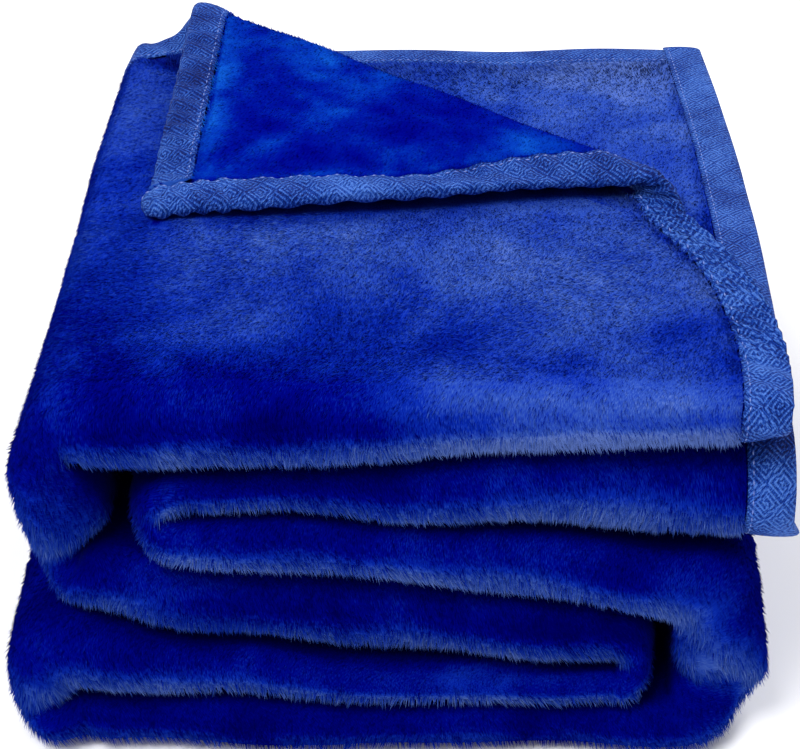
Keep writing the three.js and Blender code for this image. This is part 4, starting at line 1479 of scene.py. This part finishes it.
def lapping(name, count):
    """Locks rooted beside the tapes, which lie over their inner edges."""
    cloth_tree = joined_tree([cloth])
    edges = [(line, over, run_lengths(line)) for line, over in tape_edges()]
    whole = sum(along[-1] for line, over, along in edges)
    rows = []
    for line, over, along in edges:
        at = np.sort(rng.uniform(0, along[-1], int(count * along[-1] / whole)))
        root = points_along(line, along, at)
        way = points_along(over, along, at)
        way /= np.linalg.norm(way, axis=1, keepdims=True) + 1e-9
        for place, towards in zip(root, way):
            face = cloth_tree.find_nearest(Vector(place - towards * 2.5 * MM))[2]
            if face is not None and shows[face]:
                back = rng.uniform(0.2, 2.2) * MM
                rows.append((*(place - towards * back), *towards, face))
    rows = np.array(rows)
    root, over, face = rows[:, :3], rows[:, 3:6], rows[:, 6].astype(int)
    kept = len(rows)
    normal = face_normal[face]
    way = with_length_one(over * 0.8 + normal * 0.6 + rng.normal(0, 0.25, (kept, 3)))
    reach = rng.uniform(1.0, 2.1, kept)[:, None] * MM
    # each lock takes the painted light and shade of its face, with a random tone of its own
    light = cloth_light[face] + rng.normal(0, 0.05, kept)
    values = {"pile_tone": light, "pile_turned": face_turned[face], "pile_place": root / MM}
    print(f"{name}: {kept} locks along the tapes")
    return spikes(name, root - normal * 0.4 * MM, root + way * reach, way, normal,
                  LOCK_WIDTH / 2 * MM, 0.0, values)


# %% The regions of the cloth
FRONT_DEEP = 26.0
NEAR_HALF = -20.0
centre_mm = face_centre / MM
is_front = centre_mm[:, 1] < cad_box[0][1] / MM + FRONT_DEEP
on_top = ~is_front & (centre_mm[:, 2] > TOP_FROM) & (face_normal[:, 2] > 0.25)
near = centre_mm[:, 1] < NEAR_HALF
left = ~is_front & ~on_top & (centre_mm[:, 0] < -60) & (centre_mm[:, 1] < 150)
rest = ~is_front & ~on_top & ~left
print("faces at the front, on top and at the left:", is_front.sum(), on_top.sum(), left.sum())

# %% The pile, region by region
# most locks go where the picture is taken from, and broader ones make up for fewer elsewhere
pile = [
    locks("pile_front", is_front, 49500, hanging=1.4),
    locks("pile_top_near", on_top & near, 49500, 0.52),
    locks("pile_top_far", on_top & ~near, 34500, 0.52),
    locks("pile_left", left, 22000, 0.8),
    locks("pile_right_and_rear", rest, 20000, 0.85),
    lapping("pile_over_tape", 22000),
]

# %% [markdown]
# ## Materials
#
# Plush is dyed polyester. Looking along a fibre the eye sees into the dark of the pile, and
# across it the eye sees the pale sides of the fibres, so the one dye is drawn from navy to
# periwinkle: the navy end is painted shade and the periwinkle end painted light.
# The colours are given as sRGB hex values, and one function turns them to linear.

# %% Colour and node helpers
def linear(hex_colour):
    channels = [int(hex_colour[i:i + 2], 16) / 255 for i in (1, 3, 5)]
    return tuple(c / 12.92 if c <= 0.04045 else ((c + 0.055) / 1.055) ** 2.4
                 for c in channels) + (1.0,)


def add_node(material, kind, inputs=None, stops=(), **settings):
    """An input is a value, a socket, or a node whose first output is linked.

    Stops are the places and the sRGB colours of a colour ramp.
    """
    made = material.node_tree.nodes.new(kind)
    for key, value in settings.items():
        setattr(made, key, value)
    while stops and len(made.color_ramp.elements) < len(stops):
        made.color_ramp.elements.new(0.5)
    for i, (position, colour) in enumerate(stops):
        made.color_ramp.elements[i].position = position
        made.color_ramp.elements[i].color = linear(colour)
    for key, value in (inputs or {}).items():
        if isinstance(value, bpy.types.Node):
            value = value.outputs[0]
        if isinstance(value, bpy.types.NodeSocket):
            material.node_tree.links.new(value, made.inputs[key])
        else:
            made.inputs[key].default_value = value
    return made


def new_material(name):
    material = bpy.data.materials.new(name)
    material.use_nodes = True
    material.node_tree.nodes.clear()
    return material


def finish_material(material, surface):
    add_node(material, "ShaderNodeOutputMaterial", {"Surface": surface})
    print(material.name + ":", len(material.node_tree.nodes), "nodes")
    return material


# %% Tones
def added_up(material, total, layers, offset):
    """A tone with layers added to it, each by its share, less an offset, from nought to one."""
    for layer, share in layers:
        total = add_node(material, "ShaderNodeMath", {0: layer, 1: share, 2: total},
                         operation="MULTIPLY_ADD")
    return add_node(material, "ShaderNodeMath", {0: total, 1: offset}, operation="SUBTRACT",
                    use_clamp=True)


# %% [markdown]
# ### Plush
#
# Brushed polyester pile, dyed deep royal blue. It is matt: loose fibre ends have no gloss and only
# a trace of sheen, so nearly all that the eye sees is tone. The tone starts from the painted light
# and shade worked out for that place. Soft patches, long streaks, the fine strokes of single locks
# and their paler tips, which are painted light, are added to it, and one colour ramp turns the sum
# into colour, from painted shade to painted light.
# The cloth's other side shows on the turned-over corner, where it is deeper and more mottled.

# %% Tone of the plush
PLUSH_STOPS = ((0.0, "#000050"), (0.25, "#000472"), (0.5, "#082696"),
               (0.75, "#2b4aa2"), (1.0, "#566fb6"))
TURNED_STOPS = ((0.0, "#00005c"), (0.25, "#000272"), (0.5, "#001084"),
                (0.75, "#03309c"), (1.0, "#0c50b4"))
# how much each kind of unevenness adds to the tone
PATCH_SHARE = 0.75
STREAK_SHARE = 0.25
STROKE_SHARE = 0.75
# width and length in millimetres of a streak, of a lock's stroke and of a stroke on the ground
# (single fibres are far finer, so locks of them are drawn, which show)
STREAK = (16.0, 50.0)
STROKE = (0.36, 1.9)
GROUND_STROKE = (0.5, 2.6)


def plush_noise(material, size, detail):
    """Noise drawn out along the locks, with features of a width and a length."""
    width, length = size
    place = add_node(material, "ShaderNodeAttribute", attribute_name="pile_place")
    drawn = add_node(material, "ShaderNodeVectorMath", {
        0: place.outputs["Vector"], 1: (1 / width, 1 / length, 0.0)}, operation="MULTIPLY")
    return add_node(material, "ShaderNodeTexNoise", {
        "Vector": drawn, "Scale": 1.0, "Detail": detail, "Roughness": 0.55, "Distortion": 0.25})


def plush_tone(material, tip_share):
    """tip_share says how much paler a lock's tip is than its root: painted light at tips, shade at
    roots.
    """
    tone = add_node(material, "ShaderNodeAttribute", attribute_name="pile_tone")
    height = add_node(material, "ShaderNodeAttribute", attribute_name="pile_height")
    turned = add_node(material, "ShaderNodeAttribute", attribute_name="pile_turned")
    body = add_node(material, "ShaderNodeTexCoord").outputs["Object"]
    patches = add_node(material, "ShaderNodeTexNoise", {
        "Vector": body, "Scale": 18.0, "Detail": 3.0, "Roughness": 0.6, "Distortion": 0.5})
    mottle = add_node(material, "ShaderNodeTexNoise", {
        "Vector": body, "Scale": 52.0, "Detail": 2.0, "Roughness": 0.5, "Distortion": 0.25})
    uneven = add_node(material, "ShaderNodeMath", {0: mottle, 1: 0.5}, operation="SUBTRACT")
    layers = (
        (patches, PATCH_SHARE),
        (plush_noise(material, STREAK, 2.0), STREAK_SHARE),
        (plush_noise(material, STROKE, 2.0), STROKE_SHARE),
        (height.outputs["Fac"], tip_share),
        (uneven, turned.outputs["Fac"]),
    )
    middle = 0.5 * (PATCH_SHARE + STREAK_SHARE + STROKE_SHARE + tip_share)
    return added_up(material, tone.outputs["Fac"], layers, middle)


# %% Plush pile
def plush_surface(material, tone, more=None):
    face = add_node(material, "ShaderNodeValToRGB", {"Fac": tone}, stops=PLUSH_STOPS)
    other = add_node(material, "ShaderNodeValToRGB", {"Fac": tone}, stops=TURNED_STOPS)
    turned = add_node(material, "ShaderNodeAttribute", attribute_name="pile_turned")
    colour = add_node(material, "ShaderNodeMixRGB", {
        "Fac": turned.outputs["Fac"], "Color1": face, "Color2": other})
    return add_node(material, "ShaderNodeBsdfPrincipled", {
        "Base Color": colour, "Roughness": 0.9, "Specular IOR Level": 0.0, "Sheen Weight": 0.02,
        "Sheen Roughness": 0.45, "Sheen Tint": linear("#5c78e8"), **(more or {})})


def plush_pile():
    material = new_material("plush_pile_polyester")
    return finish_material(material, plush_surface(material, plush_tone(material, 0.22)))


plush_pile_material = plush_pile()

# %% Plush ground
def plush_ground():
    """The same pile pressed flat, which shows between the locks: a low relief stands for it."""
    material = new_material("plush_ground_polyester")
    strokes = plush_noise(material, GROUND_STROKE, 3.0)
    bump = add_node(material, "ShaderNodeBump", {
        "Height": strokes, "Strength": 0.25, "Distance": 0.0012})
    # the cloth has no pile_height, so this share only lifts the ground's tone by half its size:
    # painted light that pales the shadows between the locks
    surface = plush_surface(material, plush_tone(material, -0.10), {"Normal": bump})
    return finish_material(material, surface)


plush_ground_material = plush_ground()

# %% [markdown]
# ### Woven tape
#
# The binding is a jacquard tape of polyester yarn, smooth enough for a little gloss on its raised
# threads. They draw a traditional key pattern, turned cornerwise: nested squares whose halves are
# shifted by half a line, which joins them into a squared spiral. The pattern reads the tape's own
# UV map, in millimetres. A coarse bump stands for the wrinkles, and a fine one for the yarns.

# %% The key pattern and the yarns
# millimetres from one squared spiral to the next, and from one of its lines to the next
KEY_CELL = 8.2
KEY_LINE = 1.45
# millimetres between two yarns: real ones lie closer, and are drawn coarser so that they show
YARN = 0.5


def key_lines(material, x, y):
    """One on the raised lines of the key pattern, and nought between them."""
    across = add_node(material, "ShaderNodeMath", {0: x, 1: KEY_CELL / 2, 2: -KEY_CELL / 2},
                      operation="WRAP")
    up = add_node(material, "ShaderNodeMath", {0: y, 1: KEY_CELL / 2, 2: -KEY_CELL / 2},
                  operation="WRAP")
    upper = add_node(material, "ShaderNodeMath", {0: up, 1: 0.0}, operation="GREATER_THAN")
    shifted = add_node(material, "ShaderNodeMath", {0: upper, 1: KEY_LINE / 2, 2: across},
                       operation="MULTIPLY_ADD")
    sideways = add_node(material, "ShaderNodeMath", {0: shifted}, operation="ABSOLUTE")
    upwards = add_node(material, "ShaderNodeMath", {0: up}, operation="ABSOLUTE")
    square = add_node(material, "ShaderNodeMath", {0: sideways, 1: upwards}, operation="MAXIMUM")
    turns = add_node(material, "ShaderNodeMath", {0: square, 1: 2 * math.pi / KEY_LINE},
                     operation="MULTIPLY")
    wave = add_node(material, "ShaderNodeMath", {0: turns}, operation="SINE")
    return add_node(material, "ShaderNodeMath", {0: wave, 1: 0.9, 2: 0.5},
                    operation="MULTIPLY_ADD", use_clamp=True)


def crossed_yarns(material, x, y):
    """The over and under of the yarns, from minus one to one."""
    waves = []
    for way in (x, y):
        turns = add_node(material, "ShaderNodeMath", {0: way, 1: 2 * math.pi / YARN},
                         operation="MULTIPLY")
        waves.append(add_node(material, "ShaderNodeMath", {0: turns}, operation="SINE"))
    return add_node(material, "ShaderNodeMath", dict(enumerate(waves)), operation="MULTIPLY")


# %% Woven tape
TAPE_STOPS = ((0.1, "#000c48"), (0.38, "#05267a"), (0.62, "#12409c"), (0.95, "#4a76cc"))
# how much the lines, the yarns, the threads' unevenness and wear add to the tone
LINE_SHARE = 0.34
YARN_SHARE = 0.12
THREAD_SHARE = 2.1
WEAR_SHARE = 0.9
TONE_OFFSET = 1.06


def woven_tape():
    material = new_material("woven_jacquard_tape")
    uv = add_node(material, "ShaderNodeUVMap", uv_map="tape_mm")
    turned = add_node(material, "ShaderNodeMapping", {
        "Vector": uv, "Rotation": (0.0, 0.0, math.radians(45))})
    split = add_node(material, "ShaderNodeSeparateXYZ", {"Vector": turned})
    lines = key_lines(material, split.outputs["X"], split.outputs["Y"])
    yarns = crossed_yarns(material, split.outputs["X"], split.outputs["Y"])
    body = add_node(material, "ShaderNodeTexCoord").outputs["Object"]
    wear = add_node(material, "ShaderNodeTexNoise", {
        "Vector": body, "Scale": 60.0, "Detail": 3.0, "Roughness": 0.55})
    drawn = add_node(material, "ShaderNodeMapping", {"Vector": turned, "Scale": (2.6, 0.8, 1.0)})
    threads = add_node(material, "ShaderNodeTexNoise", {
        "Vector": drawn, "Scale": 1.0, "Detail": 2.0, "Roughness": 0.7})
    # each tape's painted light and shade, from the tapes' table
    shade = add_node(material, "ShaderNodeAttribute", attribute_name="tape_painted_light")
    layers = ((lines, LINE_SHARE), (yarns, YARN_SHARE), (threads, THREAD_SHARE), (wear, WEAR_SHARE))
    tone = added_up(material, shade.outputs["Fac"], layers, TONE_OFFSET)
    colour = add_node(material, "ShaderNodeValToRGB", {"Fac": tone}, stops=TAPE_STOPS)
    wrinkle = add_node(material, "ShaderNodeTexNoise", {
        "Vector": body, "Scale": 150.0, "Detail": 2.0, "Roughness": 0.5})
    wrinkled = add_node(material, "ShaderNodeBump", {
        "Height": wrinkle, "Strength": 0.7, "Distance": 0.004})
    relief = add_node(material, "ShaderNodeMath", {0: yarns, 1: 0.16, 2: lines},
                      operation="MULTIPLY_ADD")
    bump = add_node(material, "ShaderNodeBump", {
        "Height": relief, "Strength": 0.9, "Distance": 0.0005, "Normal": wrinkled})
    surface = add_node(material, "ShaderNodeBsdfPrincipled", {
        "Base Color": colour, "Roughness": 0.65, "Specular IOR Level": 0.08, "Normal": bump,
        "Sheen Weight": 0.02, "Sheen Roughness": 0.4, "Sheen Tint": linear("#8c9cf0")})
    return finish_material(material, surface)


woven_tape_material = woven_tape()

# %% [markdown]
# ### Sewing thread
#
# Twisted polyester thread in the tape's own blue. Its twist is smooth, so it is a little shinier
# and lighter than the tape, and a fine noise gives it the uneven tone of its turns.

# %% Sewing thread
def sewing_thread():
    material = new_material("sewing_thread_polyester")
    body = add_node(material, "ShaderNodeTexCoord").outputs["Object"]
    twist = add_node(material, "ShaderNodeTexNoise", {"Vector": body, "Scale": 700.0})
    colour = add_node(material, "ShaderNodeValToRGB", {"Fac": twist},
                      stops=((0.3, "#4d65b8"), (0.7, "#8094d6")))
    surface = add_node(material, "ShaderNodeBsdfPrincipled", {
        "Base Color": colour, "Roughness": 0.45, "Specular IOR Level": 0.4})
    return finish_material(material, surface)


thread_material = sewing_thread()

# %% [markdown]
# ## Hand the pieces to the frame
#
# The plush takes the place of the cloth's solid, and each tape that of its own. Everything lies on
# one body, because a folded blanket has no joint.

# %% Give each piece its finish and its place in the frame
tape_list = list(tape_pieces.values())
cloth.data.materials.append(plush_ground_material)
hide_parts("plush_cloth")
for piece in pile:
    piece.data.materials.append(plush_pile_material)
for node, piece in tape_pieces.items():
    piece.data.materials.append(woven_tape_material)
    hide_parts(node)
stitches.data.materials.append(thread_material)
made = [cloth, stitches] + pile + tape_list
for piece in made:
    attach(piece, "root")
print(len(made), "pieces")

# %% [markdown]
# ## Floor, light and camera
#
# The photograph is a studio picture on white. A large soft light above the front left, a weaker
# one above the rear right and a white surround give its even light and its soft, short shadows.
# The camera looks down at 31 degrees through a long lens, as the photograph's converging edges
# show. The view transform is the plain one, so white paper stays white.

# %% Floor
FLOOR_SIZE = 4.0
# the floor lies this far under the cloth, so that the two faces never coincide
FLOOR_BELOW = 0.0004


def floor_material():
    material = new_material("white_paper_floor")
    body = add_node(material, "ShaderNodeTexCoord").outputs["Object"]
    mottle = add_node(material, "ShaderNodeTexNoise", {"Vector": body, "Scale": 3.0})
    colour = add_node(material, "ShaderNodeValToRGB", {"Fac": mottle},
                      stops=((0.3, "#f4f4f6"), (0.7, "#fafafb")))
    surface = add_node(material, "ShaderNodeBsdfPrincipled", {
        "Base Color": colour, "Roughness": 0.9, "Specular IOR Level": 0.1})
    return finish_material(material, surface)


floor_bm = bmesh.new()
bmesh.ops.create_grid(floor_bm, x_segments=4, y_segments=4, size=FLOOR_SIZE)
bmesh.ops.translate(floor_bm, verts=floor_bm.verts, vec=(0, 0, -FLOOR_BELOW))
floor_mesh = bpy.data.meshes.new("floor")
floor_bm.to_mesh(floor_mesh)
floor_bm.free()
floor = bpy.data.objects.new("floor", floor_mesh)
floor_mesh.materials.append(floor_material())
scene.collection.objects.link(floor)
print("floor:", len(floor_mesh.polygons), "faces")

# %% Light
world = bpy.data.worlds.new("white_surround")
scene.world = world
world.use_nodes = True
background = world.node_tree.nodes["Background"]
background.inputs["Color"].default_value = (1.0, 1.0, 1.0, 1.0)
background.inputs["Strength"].default_value = 0.62
scene.view_settings.view_transform = "Standard"


def soft_light(name, place, target, size, power):
    data = bpy.data.lights.new(name, "AREA")
    data.shape = "DISK"
    data.size = size
    data.energy = power
    light = bpy.data.objects.new(name, data)
    light.location = place
    light.rotation_euler = (Vector(target) - Vector(place)).to_track_quat("-Z", "Y").to_euler()
    scene.collection.objects.link(light)
    print(name, power, "watts,", size, "metres wide")


soft_light("key_light", (-0.7, -0.9, 1.7), (0, 0, 0.08), 1.1, 34.0)
soft_light("rear_light", (0.8, 1.1, 1.5), (0, 0, 0.1), 1.2, 22.0)

# %% Camera
# the place is in the fold's own millimetres, and the tilt and turn are in degrees
CAMERA_PLACE = (np.array([-0.932, -675.332, 563.804]) + SHIFT) * MM
LOOKS_DOWN = 30.9
TURNED_LEFT = 0.43
camera_data = bpy.data.cameras.new("photograph_view")
camera_data.sensor_width = 36.0
camera_data.lens = 108.0
camera_data.clip_start = 0.05
camera = bpy.data.objects.new("photograph_view", camera_data)
camera.location = CAMERA_PLACE
camera.rotation_euler = (math.radians(90 - LOOKS_DOWN), 0.0, math.radians(TURNED_LEFT))
scene.collection.objects.link(camera)
scene.camera = camera
print("camera at", tuple(round(float(c), 4) for c in camera.location))
